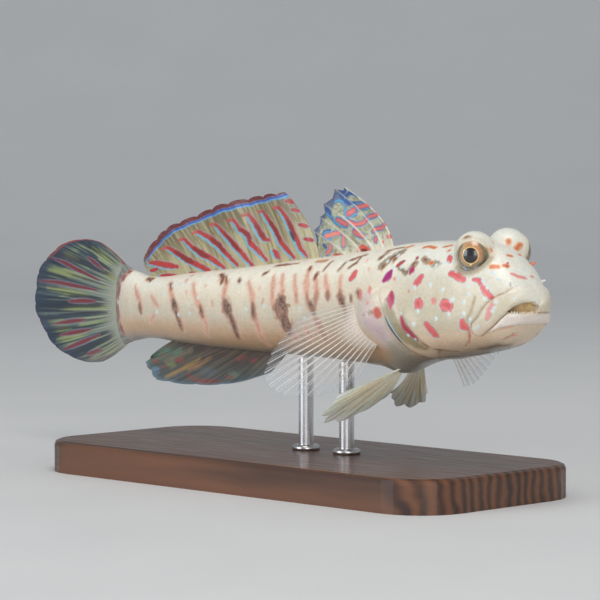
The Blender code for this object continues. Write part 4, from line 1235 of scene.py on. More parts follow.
# Lines and blotches that are alike on both sides: line, half width, tone, and then as in the layers
BREAST_BASE = ((27.0, 84), (25.9, 96), (24.4, 106), (23.8, 116))
BREAST_MIDDLE = slice(4, 10)  # the points of that line along its pinker middle
BREAST_LINES = (
    (((22.2, 136), (23.0, 150), (24.5, 165)), 2.2, tone(150, 152, 142), 1.0, 0.65, 0.2),
    (((26.4, 93), (25.6, 90), (24.9, 89)), 0.55, tone(134, 94, 62), 0.4, 0.85, 0.5, 0.12, 0.7),
    (((24.6, 89), (24.4, 91)), 0.58, tone(196, 84, 72), 0.2, 0.95, 0.25),
)
GILL_STRIP = ((22.6, 82), (22.5, 87), (21.9, 92), (21.2, 101), (20.1, 110), (18.6, 121), (16.9, 133))
GILL_BAR = ((19.9, 92), (19.5, 101), (18.5, 109), (17.6, 118))
GILL_LINES = (
    (GILL_STRIP, 1.05, tone(176, 164, 130), 0.4, 0.8, 0.12, 0, 0.5),
    (GILL_STRIP, 0.9, tone(142, 128, 94), 0.35, 0.85, 0.15, 0, 0.4),
    (GILL_BAR, 0.54, tone(126, 124, 124), 0.1, 0.8, 0.1, 0, 0.7),
    (GILL_BAR, 0.43, tone(192, 58, 84), 0.1, 0.95, 0.12, 0, 0.6),
    (GILL_BAR, 0.18, tone(140, 26, 50), 0.14, 0.7, 0.3, 0, 0.5),
    (((20.0, 89),) * 2, 0.22, PALE_BLUE, 0.08, 0.95, 0.05),
    (((18.9, 112),) * 2, 0.22, PALE_BLUE, 0.08, 0.95, 0.05),
    (((17.8, 118),) * 2, 0.22, PALE_BLUE, 0.08, 0.95, 0.05),
    (((17.5, 119), (16.1, 131), (13.8, 141), (11.6, 148)), 0.16, tone(104, 74, 54), 0.16, 0.75, 0.2, 0, 0.5),
)
RIM_TURNS = np.arange(92.0, 135.0, 7.0)
BLUE_EDGE_AHEAD = 0.42  # how far ahead of the gill cover's rim its blue edge runs
BLUE_EDGE_POINTS = 16  # and how many of its line's points it passes before it fades out
# Place behind the rim, half width, tone
SLIT_LINES = ((0.2, 0.46, tone(54, 14, 20)), (0.3, 0.26, tone(140, 20, 38)))
TAIL_STREAKS = ((38, 50), (62, 80), (92, 110), (118, 134), (16, 24))  # turns between which each one lies
FACE_LINES = (
    # the first line is a painted shadow along the fold under the throat
    (((7.7, 154), (6.2, 155), (4.9, 155), (4.4, 170)), 0.6, tone(112, 96, 84), 0.5, 0.6, 0.4),
    (((7.5, 108), (7.6, 118), (8.2, 128), (8.6, 136)), 0.12, tone(176, 92, 76), 0.12, 0.7, 0.3, 0, 0.4),
    (((3.1, 120), (2.2, 123), (1.6, 129)), 0.12, tone(206, 136, 110), 0.16, 0.6, 0.3, 0, 0.4),
    (((3.7, 148), (2.9, 148), (2.5, 151)), 0.12, tone(166, 120, 92), 0.16, 0.6, 0.3, 0, 0.4),
    (((2.4, 151), (2.1, 156)), 0.12, tone(214, 92, 82), 0.1, 0.8, 0.3),
)
# Outline, tone, strength, how far back it reaches
LIP_TONES = ((UPPER_LIP, LIP_PALE, 0.35, 9.0), (LOWER_LIP, LOWER_PALE, 0.8, 5.0))


def lay_flank(paint, rng):
    """Stripes and dark patches of the flank, and the fleshy base of the breast fin."""
    for path, dark, width in STRIPES:
        lay_layers(paint, marks([(path, width)], rng), STRIPE_LAYERS)
        if dark:
            lay_layers(paint, marks([(dark, width)], rng), STRIPE_DARKS)
    lay_layers(paint, marks(SOFT_PATCHES, rng), SOFT_LAYERS)
    lay_layers(paint, marks(DARK_PATCHES, rng), DARK_LAYERS)
    lay_layers(paint, marks(PALE_MARKS, rng), PALE_LAYERS)
    for side in (1, -1):
        base = mark_line(BREAST_BASE, side)
        paint.stroke(base, 1.7, tone(204, 190, 186), 0.9, 0.75, 0.15)
        paint.stroke(base[BREAST_MIDDLE], 1.0, tone(192, 164, 172), 0.7, 0.6, 0.2)
        lay_lines(paint, BREAST_LINES, side)


def lay_nape(paint, rng):
    """Olive patches, brown streaks and orange spots along the top of the head and shoulders."""
    lay_layers(paint, marks(OLIVE_PATCHES, rng), OLIVE_LAYERS)
    lay_layers(paint, marks(BROWN_MARKS, rng), BROWN_LAYERS)
    lay_layers(paint, marks(ORANGE_MARKS, rng), ORANGE_LAYERS)
    lay_layers(paint, [(mark_line(path), width) for path, width in MOUND_MARKS], ORANGE_LAYERS)


def lay_spots(paint, rng):
    """Salmon, magenta and round spots of the head, and the raised pale-blue dots."""
    lay_layers(paint, marks(PLAIN_SALMON_MARKS, rng), PLAIN_LAYERS)
    lay_layers(paint, marks(SALMON_MARKS, rng), SALMON_LAYERS)
    for path, width, fill in DEEP_MARKS:
        layers = edged_layers(fill, fill * 0.4, tone(120, 84, 104), 0.45)
        lay_layers(paint, marks([(path, width)], rng), layers)
    lay_layers(paint, marks(ROUND_MARKS, rng), ROUND_LAYERS)
    for side in (1, -1):
        for dot in BLUE_DOTS:
            line = mark_line([dot, dot], side)
            paint.stroke(line, 0.38, tone(222, 230, 228), 0.14, 0.55, 0.1)
            paint.stroke(line, 0.22, PALE_BLUE, 0.1, 0.95, 0.05)


def lay_gill(paint):
    """The olive strip between the gill cover's folds, its red bars and the blue edge of the slit."""
    rims = gill_edge(RIM_TURNS) - RIM_AHEAD
    for side in (1, -1):
        lay_lines(paint, GILL_LINES, side)
        edge = mark_line(zip(rims - BLUE_EDGE_AHEAD, RIM_TURNS), side)
        paint.stroke(edge[:BLUE_EDGE_POINTS], 0.16, tone(150, 190, 206), 0.1, 0.9, 0.1, ends=0.4)
        for behind, width, tone_of in SLIT_LINES:
            slit = mark_line(zip(rims + behind, RIM_TURNS), side)
            paint.stroke(slit, width, tone_of, 0.1, 0.95, 0.1, ends=0.4)


def lay_tail_base(paint, back, turn):
    """Dull red marks where the flesh gives way to the tail fin's rays."""
    border = TAIL_BORDER - TAIL_BORDER_ARC * np.cos(np.radians(turn)) ** 2
    past = smooth_step(-0.35, 0.35, back - border + paint.wobble * 0.8)
    streaks = 0.5 + 0.5 * np.sin(np.radians(turn) * 22 + paint.wobble)
    low = smooth_step(120.0, 160.0, np.abs(turn)) * smooth_step(84.0, 91.0, back)
    paint.lay(tone(146, 138, 136), low * 0.7)
    paint.lay(tone(128, 132, 124) * (0.75 + 0.5 * streaks[:, None]), past)
    for side in (1, -1):
        for turns in TAIL_STREAKS:
            backs = [TAIL_BORDER - 0.4 - TAIL_BORDER_ARC * math.cos(math.radians(a)) ** 2 for a in turns]
            line = mark_line(zip(backs, turns), side)
            paint.stroke(line, 0.8, tone(178, 104, 94), 0.35, 0.8, 0.3, ends=0.7)
            paint.stroke(line, 0.45, tone(124, 54, 52), 0.25, 0.7, 0.5, ends=0.6)


def lay_lids(paint, side):
    """The dome of skin round an eye, tinted tan partly as painted shade, and painted shade along the edge of
    its lids.
    """
    turn_of, reach_of = turn_from_opening(side, (paint.points - eye_frame(side)[0]) / EYE_RADIUS)
    close = smooth_step(1.5, 1.2, reach_of)
    lid = smooth_step(SOCKET_TURN + 9.0, SOCKET_TURN + 4.0, turn_of) * close
    dome = smooth_step(SOCKET_TURN + 48.0, SOCKET_TURN, turn_of) * close
    # tan of the skin's dome round the eye, partly painted shade
    paint.lay(tone(204, 186, 142), dome * 0.5)
    # painted shade along the lids' edge, where they meet the eyeball
    paint.lay(tone(110, 82, 52), lid * 0.4)


def lay_face(paint, back, turn, lift, deep):
    """Pale lips, shaded grooves, a painted shadow under the throat, painted shade at the lids' edge, and the
    mouth, painted lighter on its walls and with painted shade deep inside.
    """
    spots = polar_map(back, turn)
    chin = smooth_step(6.5, 3.0, back) * smooth_step(108.0, 128.0, np.abs(turn))
    paint.lay(tone(220, 198, 172), chin * 0.85)
    for outline, tone_of, strength, reach in LIP_TONES:
        inside = inside_outline(spots, whole_outline(outline)) & (back < reach)
        paint.lay(tone_of, inside * strength * smooth_step(0.0, 0.3, lift))
    # painted shade in the head's grooves and hollows, wherever the skin is sunk
    paint.lay(GROOVE_SHADE, smooth_step(-0.03, -0.14, lift) * (back < 19) * 0.65)
    for side in (1, -1):
        lay_lines(paint, FACE_LINES, side)
        lay_lids(paint, side)
    # inside of the mouth: its tan painted lighter as painted light on the walls, then painted shade deep
    # inside towards the right corner
    paint.lay(tone(228, 202, 152), smooth_step(0.3, 0.9, deep))
    shade_in = smooth_step(1.2, MOUTH_DEEP, deep) * smooth_step(2.0, 3.6, -paint.points[:, 1])
    paint.lay(tone(112, 80, 50), shade_in * 0.75)


def lay_skin_marks(paint, back, turn):
    rng = np.random.default_rng(31)
    lay_flank(paint, rng)
    lay_nape(paint, rng)
    lay_gill(paint)
    lay_spots(paint, rng)
    lay_tail_base(paint, back, turn)


SCALE_GIRTH = 6.5  # body radius for which the rows of scales are laid out


def build_skin(material):
    """Head, lower jaw, trunk and tail stalk as one closed skin, its tip and tail drawn shut."""
    moved, points, back, turn, deep, lift = skin_shape()
    last = len(moved) - COLUMNS
    made = mesh_object("goby_skin", moved, grid_faces(len(moved) // COLUMNS, COLUMNS, wrap=True, flip=True))
    rings = [(len(moved), (j + 1) % COLUMNS, j) for j in range(COLUMNS)]
    for j in range(COLUMNS // 2):
        ring = (j, j + 1, COLUMNS - j - 1, (COLUMNS - j) % COLUMNS)
        rings.append([last + k for k in dict.fromkeys(ring)])
    add_faces(made, rings, [moved[:COLUMNS].mean(axis=0)], outward=False)
    paint = Paint(seat_eyes(points), ground_of(back, turn), 11)
    lay_skin_marks(paint, back, turn)
    lay_face(paint, back, turn, lift, deep)
    set_colours(made, "paint", np.vstack([paint.colour, paint.colour[:1]]))
    scale_map = np.stack([back, np.radians(turn) * SCALE_GIRTH, np.zeros_like(back)], axis=-1)
    set_vectors(made, "scale_map", np.vstack([scale_map, scale_map[:1]]))
    set_values(made, "scaly", np.append(smooth_step(26.0, 34.0, back), 0.0))
    return finish_piece(made, material, "skin", "head", "lower_jaw", "trunk", "tail_stalk")


# Eyes

EYE_TALL = 1.12  # height of the eyeball as a share of its width
PUPIL = (1.06, 1.09)
EYE_ROWS = 120
EYE_COLUMNS = 120


def eye_frame(side):
    """Centre of an eyeball in millimetres, the way it looks and the way square to that, to the fore."""
    back, out, rise, turn = EYES[0] if side > 0 else EYES[1]
    turn = math.radians(turn)
    ahead, right = forward_at(back), right_at(back)
    look = ahead * math.cos(turn) + right * (side * math.sin(turn))
    fore = ahead * math.sin(turn) - right * (side * math.cos(turn))
    return place(back, side * out, rise) / MM, look, fore


def build_eye(side, material):
    """An eyeball with a painted iris and a black pupil ringed with gold."""
    name = "right" if side > 0 else "left"
    centre, look, fore = eye_frame(side)
    up = np.array([0.0, 0.0, 1.0])
    polar = np.linspace(0.004, np.pi - 0.004, EYE_ROWS)[:, None]
    round_axis = np.linspace(0, 2 * np.pi, EYE_COLUMNS, endpoint=False)[None, :]
    ahead = (np.cos(polar) * np.ones_like(round_axis)).ravel() * EYE_RADIUS
    level = (np.sin(polar) * np.cos(round_axis)).ravel() * EYE_RADIUS
    height = (np.sin(polar) * np.sin(round_axis)).ravel() * EYE_RADIUS * EYE_TALL
    local = np.stack([level, height, ahead], axis=-1)
    points = centre + look * ahead[:, None] + fore * level[:, None] + up * height[:, None]
    made = mesh_object(f"goby_eye_{name}", points * MM, grid_faces(EYE_ROWS, EYE_COLUMNS, wrap=True))
    last = (EYE_ROWS - 1) * EYE_COLUMNS
    add_faces(made, [range(start, start + EYE_COLUMNS) for start in (0, last)])
    paint = Paint(local, tone(140, 126, 98), 41)
    lay_iris(paint)
    set_colours(made, "paint", paint.colour)
    return finish_piece(made, material, "eye", f"eye_{name}")


def iris_arc(radius, start, end, steps=9):
    """Part of a ring round the pupil, its angles counted from fore towards up."""
    angles = np.radians(np.linspace(start, end, steps))
    level, height = radius * np.cos(angles), radius * np.sin(angles)
    ahead = np.sqrt(np.maximum(EYE_RADIUS**2 - radius**2, 0.0)) * np.ones(steps)
    return np.stack([level, height * EYE_TALL, ahead], axis=-1)


# Arcs of the iris: radius, angles of its ends, half width, tone, and then as in the skin's layers
IRIS_ARCS = (
    (1.42, -25, 128, 0.26, tone(206, 138, 92), 0.25, 0.85, 0.3),
    (1.72, 60, 130, 0.14, tone(222, 176, 142), 0.2, 0.7, 0.3),
    (1.45, 128, 250, 0.2, tone(196, 164, 124), 0.25, 0.8, 0.3),
    (1.9, 118, 236, 0.07, tone(106, 88, 60), 0.1, 0.85, 0.2, 0, 0.4),
    (2.08, 116, 238, 0.07, tone(206, 194, 160), 0.1, 0.85, 0.2, 0, 0.4),
    (2.26, 112, 240, 0.12, tone(72, 56, 36), 0.1, 0.9, 0.2, 0, 0.4),
    (1.74, 238, 306, 0.2, tone(168, 176, 182), 0.2, 0.75, 0.4),
    # the next two arcs are a painted blue highlight low on the eye
    (2.1, 240, 296, 0.16, tone(116, 152, 192), 0.14, 0.9, 0.3),
    (1.95, 226, 246, 0.14, tone(170, 204, 220), 0.14, 0.85, 0.3),
    (1.98, 298, 358, 0.26, tone(36, 38, 28), 0.16, 0.92, 0.3, 0, 0.4),
    (1.68, 306, 322, 0.14, tone(60, 52, 36), 0.14, 0.8, 0.4),
    (1.62, 244, 258, 0.12, tone(52, 42, 30), 0.12, 0.85, 0.4),
    (1.66, 266, 280, 0.13, tone(92, 60, 44), 0.14, 0.8, 0.3),
    (2.32, 300, 350, 0.07, tone(178, 170, 132), 0.1, 0.7, 0.2),
)


def lay_iris(paint):
    """Rings of brown and olive round the pupil, its golden rim, a greyish band low on the eye and a painted
    blue highlight there.
    """
    level, height, ahead = paint.points.T
    reach = np.hypot(level, height / EYE_TALL)
    paint.lay(tone(126, 112, 80), smooth_step(1.5, 2.0, reach) * 0.8)
    paint.lay(tone(210, 196, 156), smooth_step(1.9, 2.5, reach) * smooth_step(0.6, 1.9, height) * 0.8)
    for radius, start, end, width, tone_of, *settings in IRIS_ARCS:
        paint.stroke(iris_arc(radius, start, end), width, tone_of, *settings)
    pupil = np.hypot(level / PUPIL[0], height / PUPIL[1])
    front = ahead > 0
    drop = np.hypot(level / 0.24, (height + PUPIL[1] + 0.12) / 0.3)
    paint.lay(tone(238, 192, 118), (1 - smooth_step(1.11, 1.2, pupil)) * front)
    paint.lay(tone(244, 206, 138), (1 - smooth_step(0.75, 1.1, drop)) * front)
    paint.lay(tone(8, 8, 12), (1 - smooth_step(0.97, 1.04, pupil)) * front)
    paint.lay(tone(190, 170, 140), smooth_step(-0.2, -0.8, ahead))


# Fins: each is a thin closed sheet over a surface, thicker along its rays

COLUMNS_PER_RAY = 16
FIN_ROWS = 110
WEB_HALF = 0.05
RAY_HALF = 0.12
EDGE_HALF = 0.02
THINNING = 0.45  # share of the web's thickness and of the rays' width that is lost towards the margin
RAY_TAPER = 0.7  # and of the rays' height over the web
FIBRE_GRAIN = (8.0, 2.4)  # lumps of the web's fine pattern from ray to ray and from root to margin


def pectoral_surface(side_name):
    side = 1 if side_name == "right" else -1
    fan = PECTORAL_FANS[side_name]
    splay_top, splay_foot = PECTORAL_SPLAY[side_name]

    def surface(across, along):
        back, rise = (a + (b - a) * across for a, b in zip(PECTORAL_ROOT_TOP, PECTORAL_ROOT_FOOT))
        flank = flank_out(back, rise) + lobe_swelling(back, rise)
        root = place(back, side * (flank - ROOT_SUNK), rise)
        splay = np.radians(splay_top + (splay_foot - splay_top) * across)[..., None]
        level = -forward_at(LOBE_BACK) * np.cos(splay) + right_at(LOBE_BACK) * (side * np.sin(splay))
        droop = np.radians(even(fan, 0)(across))[..., None]
        way = level * np.cos(droop) - np.array([0.0, 0.0, 1.0]) * np.sin(droop)
        tip = place(back, side * flank, rise) + way * (even(fan, 1)(across) * MM)[..., None]
        return bowed(root, tip, right_at(back) * (side * PECTORAL_BOW * MM), along)

    return surface


def flank_out(back, rise):
    """Distance of the plain flank from the midline at a height over the spine."""
    widest = WIDEST(back)
    reach = np.where(rise > widest, TOP(back) - widest, widest - BELLY(back))
    share = np.clip(np.abs(rise - widest) / reach, 0.0, 1.0)
    return HALF_WIDTH(back) * (1 - share**SQUARENESS) ** (1 / SQUARENESS)


PELVIC_BULGE = 0.6  # how far the outer rays of the disc bend apart at half their length


def pelvic_surface(side):
    fan = PELVIC_FANS["right" if side > 0 else "left"]
    stations = np.linspace(0, 1, len(fan))

    def surface(across, along):
        back = PELVIC_ROOT_BACK[0] + (PELVIC_ROOT_BACK[1] - PELVIC_ROOT_BACK[0]) * across
        out = PELVIC_ROOT_OUT[0] + (PELVIC_ROOT_OUT[1] - PELVIC_ROOT_OUT[0]) * across
        splay, droop, length = (smooth_curve(stations, [row[c] for row in fan])(across) for c in range(3))
        turn, fall = np.radians(splay)[..., None], np.radians(droop)[..., None]
        level = -forward_at(back) * np.cos(turn) + right_at(back) * (side * np.sin(turn))
        way = level * np.cos(fall) - np.array([0.0, 0.0, 1.0]) * np.sin(fall)
        foot = place(back, side * out, BELLY(back) - STALK_DEEP * PELVIC_ROOT_DEEP)
        root = foot - way * (ROOT_SUNK * MM)
        tip = foot + way * (length * MM)[..., None]
        spread = -forward_at(back) * 0.75 + right_at(back) * side * 0.3 + np.array([0.0, 0.0, 0.55])
        bow = spread * ((1 - 2 * across) * PELVIC_BULGE * MM)[..., None]
        return bowed(root, tip, bow + np.array([0.0, 0.0, -PELVIC_BOW * MM]), along)

    return surface


def margin_reach(ray, from_end, from_rear, form):
    """How far each column reaches along its ray: scallops, notches, points and rounded ends."""
    to_ray = np.abs(ray - np.round(ray)) * 2
    lobe = 1 - np.sqrt(1 - 0.97 * np.clip(to_ray, 0, 1) ** 2)
    reach = form["reach"] - form["lobe"] * lobe - form["notch"] * to_ray**1.3
    reach = reach + form["spiky"] * np.exp(-((to_ray / 0.2) ** 2))
    reach = reach - form["rounding"] * np.exp(-from_end / 0.35)
    reach = reach - form["rear_round"] * np.exp(-from_rear / 0.3)
    return reach + form["bulge"] * np.exp(-(((ray - form["bulge_at"]) / 2.0) ** 2))


class Fin:
    """One fin's sheet: its grid of places, how near each is to a ray, and its paint."""

    def __init__(self, name, surface, rays, **form):
        form = {**FIN_FORM, **form}
        self.name, self.surface, self.rays = name, surface, rays
        span = rays - 1 + form["lead"] + form["trail"]
        rear = rays - 1 + form["trail"]
        columns = int(COLUMNS_PER_RAY * form["ridges"] * span) + 1
        ray = np.linspace(-form["lead"], rear, columns)
        from_end = np.minimum(ray + form["lead"], rear - ray)
        reach = margin_reach(ray, from_end, rear - ray, form)
        share = np.linspace(0, 1, FIN_ROWS)[:, None]
        self.along = form["start"] + (reach[None, :] - form["start"]) * share
        self.ray = np.broadcast_to(ray, self.along.shape)
        self.middle = surface(self.ray / (rays - 1), self.along) / MM
        spacing = np.linalg.norm(np.gradient(self.middle, axis=1), axis=-1) * (columns - 1) / span
        phase = self.ray * form["ridges"]
        branch = form["branch"] * smooth_step(form["split"], 1.0, self.along)
        ray_gap = np.abs(np.abs(phase - np.round(phase)) - branch) * spacing / form["ridges"]
        self.line = np.exp(-((ray_gap / (form["line_wide"] * (1 - 0.3 * self.along))) ** 2))
        taper = 1 - RAY_TAPER * smooth_step(0.0, 1.0, self.along)
        width = form["ray_wide"] * (1 - THINNING * self.along)
        ridge = (form["ray_half"] - WEB_HALF) * taper * np.exp(-((ray_gap / width) ** 2))
        half = WEB_HALF * (1 - THINNING * self.along) + ridge
        rim = np.minimum(1 - share, from_end[None, :] * 0.5)
        self.half = EDGE_HALF + (half - EDGE_HALF) * smooth_step(0.0, 0.03, np.broadcast_to(rim, half.shape))
        across, out = FIBRE_GRAIN
        spots = np.stack([self.ray * across, self.along * out, np.zeros_like(self.ray)], axis=-1)
        self.fibres = noise(spots.reshape(-1, 3), 1.0, len(name)).reshape(self.ray.shape)

    def fields(self):
        """At every point: share of the way out, number of the ray, nearness to a ray, and fibres."""
        return [values.ravel() for values in (self.along, self.ray, self.line, self.fibres)]

    def ground(self, tones, seed):
        """Starts the paint with tones blended along the rays, given as pairs of share and tone."""
        places, shades = zip(*tones)
        blends = [np.interp(self.along, places, [shade[c] for shade in shades]).ravel() for c in range(3)]
        self.paint = Paint(self.middle.reshape(-1, 3), np.stack(blends, axis=-1), seed)
        return self.paint

    def mark(self, spots, width, tone_of, *settings, **more):
        """A stroke along (ray, along) spots."""
        ray, along = (np.array(column, float) for column in zip(*spots))
        steps = np.linspace(0, len(ray) - 1, (len(ray) - 1) * 3 + 1)
        ray = np.interp(steps, np.arange(len(spots)), ray)
        along = np.interp(steps, np.arange(len(spots)), along)
        path = self.surface(ray / (self.rays - 1), along) / MM
        self.paint.stroke(path, width, tone_of, *settings, **more)

    def mark_all(self, lines, layers):
        """All layers over each line: half width, tone, and then as in the skin's layers."""
        for spots in lines:
            for width, tone_of, *settings in layers:
                self.mark(spots, width, tone_of, *settings)

    def build(self, cover, material, slot):
        way = np.cross(np.gradient(self.middle, axis=0), np.gradient(self.middle, axis=1))
        way /= np.maximum(np.linalg.norm(way, axis=-1, keepdims=True), 1e-12)
        front = self.middle + way * self.half[..., None]
        rear = self.middle - way * self.half[..., None]
        points = np.concatenate([front, rear[:, ::-1]], axis=1)
        rows, columns = points.shape[:2]
        faces = grid_faces(rows, columns, wrap=True)
        made = mesh_object("goby_" + self.name, points.reshape(-1, 3) * MM, faces)
        half = columns // 2
        rings = []
        for start in (0, (rows - 1) * columns):
            for j in range(half - 1):
                rings.append([start + k for k in (j, j + 1, columns - 2 - j, columns - 1 - j)])
        add_faces(made, rings)
        colour = self.paint.colour.reshape(rows, half, 3)
        set_colours(made, "paint", np.concatenate([colour, colour[:, ::-1]], axis=1).reshape(-1, 3))
        cover = np.broadcast_to(cover, (rows, half))
        set_values(made, "cover", np.concatenate([cover, cover[:, ::-1]], axis=1).ravel())
        return finish_piece(made, material, slot, self.name)


# How a fin is drawn unless it says otherwise: its margin, then its rays
FIN_FORM = {
    "lead": 0.0,  # extra web ahead of the first ray, in rays
    "trail": 0.0,  # and behind the last
    "start": 0.02,
    "reach": 1.0,
    "lobe": 0.0,  # rounded scallops
    "notch": 0.0,  # straight-sided notches between the rays
    "spiky": 0.0,  # points on the rays
    "rounding": 0.0,
    "rear_round": 0.0,
    "bulge": 0.0,
    "bulge_at": 0.0,
    "ridges": 1,
    "branch": 0.17,
    "split": 0.4,
    "ray_half": RAY_HALF,
    "ray_wide": 0.15,
    "line_wide": 0.12,
}

KHAKI = tone(152, 142, 104)
PALE_RAY = tone(204, 192, 154)
FIN_BLUE = tone(104, 180, 208)
BLUE_LINE = tone(24, 78, 196)
MARGIN = tone(108, 42, 46)

SECOND_DORSAL_BARS = (
    ((1.17, 0.81), (0.80, 0.81), (0.63, 0.65), (0.60, 0.51), (0.57, 0.40), (0.46, 0.24), (0.27, 0.14)),
    ((2.27, 0.80), (1.99, 0.80), (1.82, 0.67), (1.63, 0.53), (1.55, 0.38), (1.24, 0.24), (1.00, 0.14)),
    ((3.10, 0.79), (2.80, 0.79), (2.66, 0.66), (2.56, 0.51), (2.46, 0.45), (2.22, 0.41)),
    ((2.13, 0.27), (1.90, 0.17)),
    ((3.96, 0.77), (3.65, 0.76), (3.52, 0.62), (3.23, 0.53), (3.28, 0.42), (2.99, 0.30), (2.68, 0.16)),
    ((5.09, 0.80), (4.78, 0.77), (4.54, 0.63), (4.29, 0.48), (4.02, 0.34), (3.83, 0.23), (3.56, 0.12)),
    ((6.18, 0.77), (5.89, 0.77), (5.48, 0.62), (5.14, 0.48), (4.94, 0.35), (4.48, 0.15)),
    ((7.15, 0.74), (6.82, 0.73), (6.65, 0.56), (6.37, 0.44), (6.01, 0.35), (5.69, 0.24), (5.35, 0.14)),
    ((8.63, 0.77), (8.23, 0.73), (7.93, 0.60), (7.55, 0.43), (7.11, 0.31), (6.60, 0.18), (6.32, 0.14)),
    ((9.77, 0.71), (9.30, 0.56), (8.81, 0.41), (8.30, 0.32)),
    ((9.74, 0.24), (9.23, 0.18), (8.68, 0.13)),
)
SECOND_DORSAL_SPOTS = ((0.0, 0.74), (0.0, 0.54), (0.0, 0.35), (0.05, 0.86), (7.6, 0.12), (9.9, 0.47))

# First dorsal: salmon marks with half widths, then dark-blue and light-blue lines
FIRST_DORSAL_MARKS = (
    (((0.0, 0.73), (0.09, 0.73), (0.63, 0.72), (1.07, 0.72), (1.39, 0.72), (1.58, 0.73)), 0.32),
    (((1.29, 0.71), (1.62, 0.73)), 0.44),
    (((0.0, 0.60), (0.35, 0.58), (0.97, 0.57)), 0.28),
    (((1.03, 0.55), (1.30, 0.53), (1.57, 0.55), (1.82, 0.58), (1.94, 0.63), (2.02, 0.68)), 0.32),
    (((2.25, 0.67), (2.34, 0.73), (2.40, 0.78)), 0.4),
    (((0.0, 0.45), (0.36, 0.40), (0.79, 0.40), (1.15, 0.38)), 0.28),
    (((2.28, 0.52), (2.20, 0.47), (2.02, 0.40)), 0.4),
    (((1.29, 0.28), (1.39, 0.25)), 0.3),
    (((0.76, 0.21), (0.78, 0.20)), 0.18),
    (((0.28, 0.28), (0.24, 0.26)), 0.2),
    (((3.83, 0.77), (3.66, 0.73), (3.35, 0.70), (3.18, 0.66)), 0.36),
    (((3.10, 0.59), (3.35, 0.52), (3.61, 0.44)), 0.3),
    (((4.22, 0.60), (4.39, 0.51), (4.68, 0.47)), 0.32),
)
FIRST_DORSAL_DEEPS = (
    (
        (0.02, 0.86), (0.05, 0.90), (0.31, 0.91), (0.83, 0.88),
        (1.11, 0.83), (1.05, 0.79), (0.94, 0.78), (0.21, 0.76),
    ),
    ((0.3, 0.95), (1.02, 0.93), (1.25, 0.86), (1.22, 0.79)),
    ((2.12, 0.95), (2.25, 0.90), (2.53, 0.88), (2.60, 0.84)),
    ((3.42, 0.79), (3.68, 0.84), (3.92, 0.82), (4.03, 0.75)),
    ((4.51, 0.72), (4.52, 0.64)),
)
FIRST_DORSAL_LIGHTS = (
    (
        (1.57, 0.91), (1.39, 0.89), (1.34, 0.85), (1.47, 0.80),
        (1.64, 0.78), (1.79, 0.74), (1.54, 0.67), (1.37, 0.66),
    ),
    ((0.06, 0.70), (0.48, 0.68), (0.88, 0.70), (1.16, 0.68)),
    ((2.50, 0.93), (2.53, 0.89), (2.50, 0.85), (2.73, 0.81), (2.67, 0.74), (2.52, 0.66)),
    ((4.03, 0.75), (3.83, 0.68)),
    ((2.15, 0.22), (2.17, 0.12)),
)

# Anal fin: red marks, then yellow, green and blue streaks, each with its half width
ANAL_REDS = (
    (((3.40, 0.80), (2.94, 0.86), (2.43, 0.93), (2.15, 0.91), (1.74, 0.90)), 0.36),
    (((1.69, 0.81), (1.48, 0.80)), 0.26),
    (((2.43, 0.37), (2.20, 0.30)), 0.3),
    (((1.61, 0.40), (1.43, 0.36)), 0.3),
    (((6.91, 0.93), (6.28, 0.88)), 0.36),
    (((7.44, 0.77), (6.95, 0.73)), 0.24),
    (((5.54, 0.68), (5.34, 0.61)), 0.4),
    (((5.51, 0.87), (5.27, 0.84)), 0.24),
)
ANAL_STREAKS = (
    (((3.98, 0.92), (4.04, 0.80), (4.08, 0.70), (4.17, 0.57), (4.38, 0.47)), 0.24, tone(206, 160, 84)),
    (((3.75, 0.69), (3.67, 0.57), (3.93, 0.39)), 0.18, tone(196, 146, 88)),
    (((5.99, 0.80), (5.97, 0.66), (6.06, 0.54), (6.04, 0.39)), 0.2, tone(196, 178, 148)),
    (((5.41, 0.80), (5.11, 0.73)), 0.34, tone(160, 172, 90)),
    (((9.0, 0.81), (8.6, 0.7), (8.2, 0.6)), 0.6, tone(92, 132, 112)),
    (((6.99, 0.45), (6.40, 0.61)), 0.5, tone(96, 134, 112)),
    (((7.6, 0.6), (7.2, 0.86)), 0.4, tone(92, 130, 112)),
    (((1.20, 0.81), (1.80, 0.71)), 0.4, tone(106, 132, 112)),
    (((5.48, 1.0), (5.27, 0.94)), 0.55, tone(112, 150, 184)),
    (((3.15, 0.70), (2.65, 0.67)), 0.5, tone(84, 106, 122)),
)

CAUDAL_STRIPES = (
    ((4.19, 0.93), (4.21, 0.77), (4.37, 0.58), (4.57, 0.31)),
    ((6.03, 0.99), (5.83, 0.74), (5.81, 0.56), (5.73, 0.30)),
    ((7.21, 0.62), (7.07, 0.46), (6.99, 0.31)),
    ((8.91, 0.85), (8.85, 0.63), (8.83, 0.46)),
    ((2.78, 0.60), (2.94, 0.47), (3.16, 0.31)),
    ((9.81, 0.84), (9.83, 0.63), (9.89, 0.43)),
    ((11.0, 0.97), (10.84, 0.67), (10.72, 0.37)),
    ((12.12, 0.79), (12.28, 0.51)),
)
CAUDAL_GREENS = (
    (((1.66, 0.72), (1.6, 0.53), (1.68, 0.3)), 0.5),
    (((3.51, 0.88), (3.44, 0.66)), 0.6),
    (((5.1, 0.9), (5.0, 0.74), (4.93, 0.5)), 0.55),
    (((3.36, 0.34), (3.4, 0.14)), 0.4),
    (((6.41, 0.88), (6.43, 0.59), (6.55, 0.4)), 0.5),
    (((7.87, 0.7), (7.67, 0.42), (7.65, 0.2)), 0.4),
    (((9.39, 0.89), (9.41, 0.66)), 0.4),
    (((10.13, 0.91), (10.19, 0.71), (10.03, 0.5)), 0.5),
)
CAUDAL_BASE_SPOTS = (
    ((3.04, 0.11), (3.93, 0.10), (4.79, 0.09)),
    ((5.65, 0.07), (6.55, 0.07), (7.47, 0.07)),
    ((8.41, 0.06), (9.53, 0.06), (10.8, 0.06)),
    ((1.76, 0.10), (2.04, 0.05)),
    ((0.14, 0.31), (0.46, 0.10), (0.74, 0.03)),
)


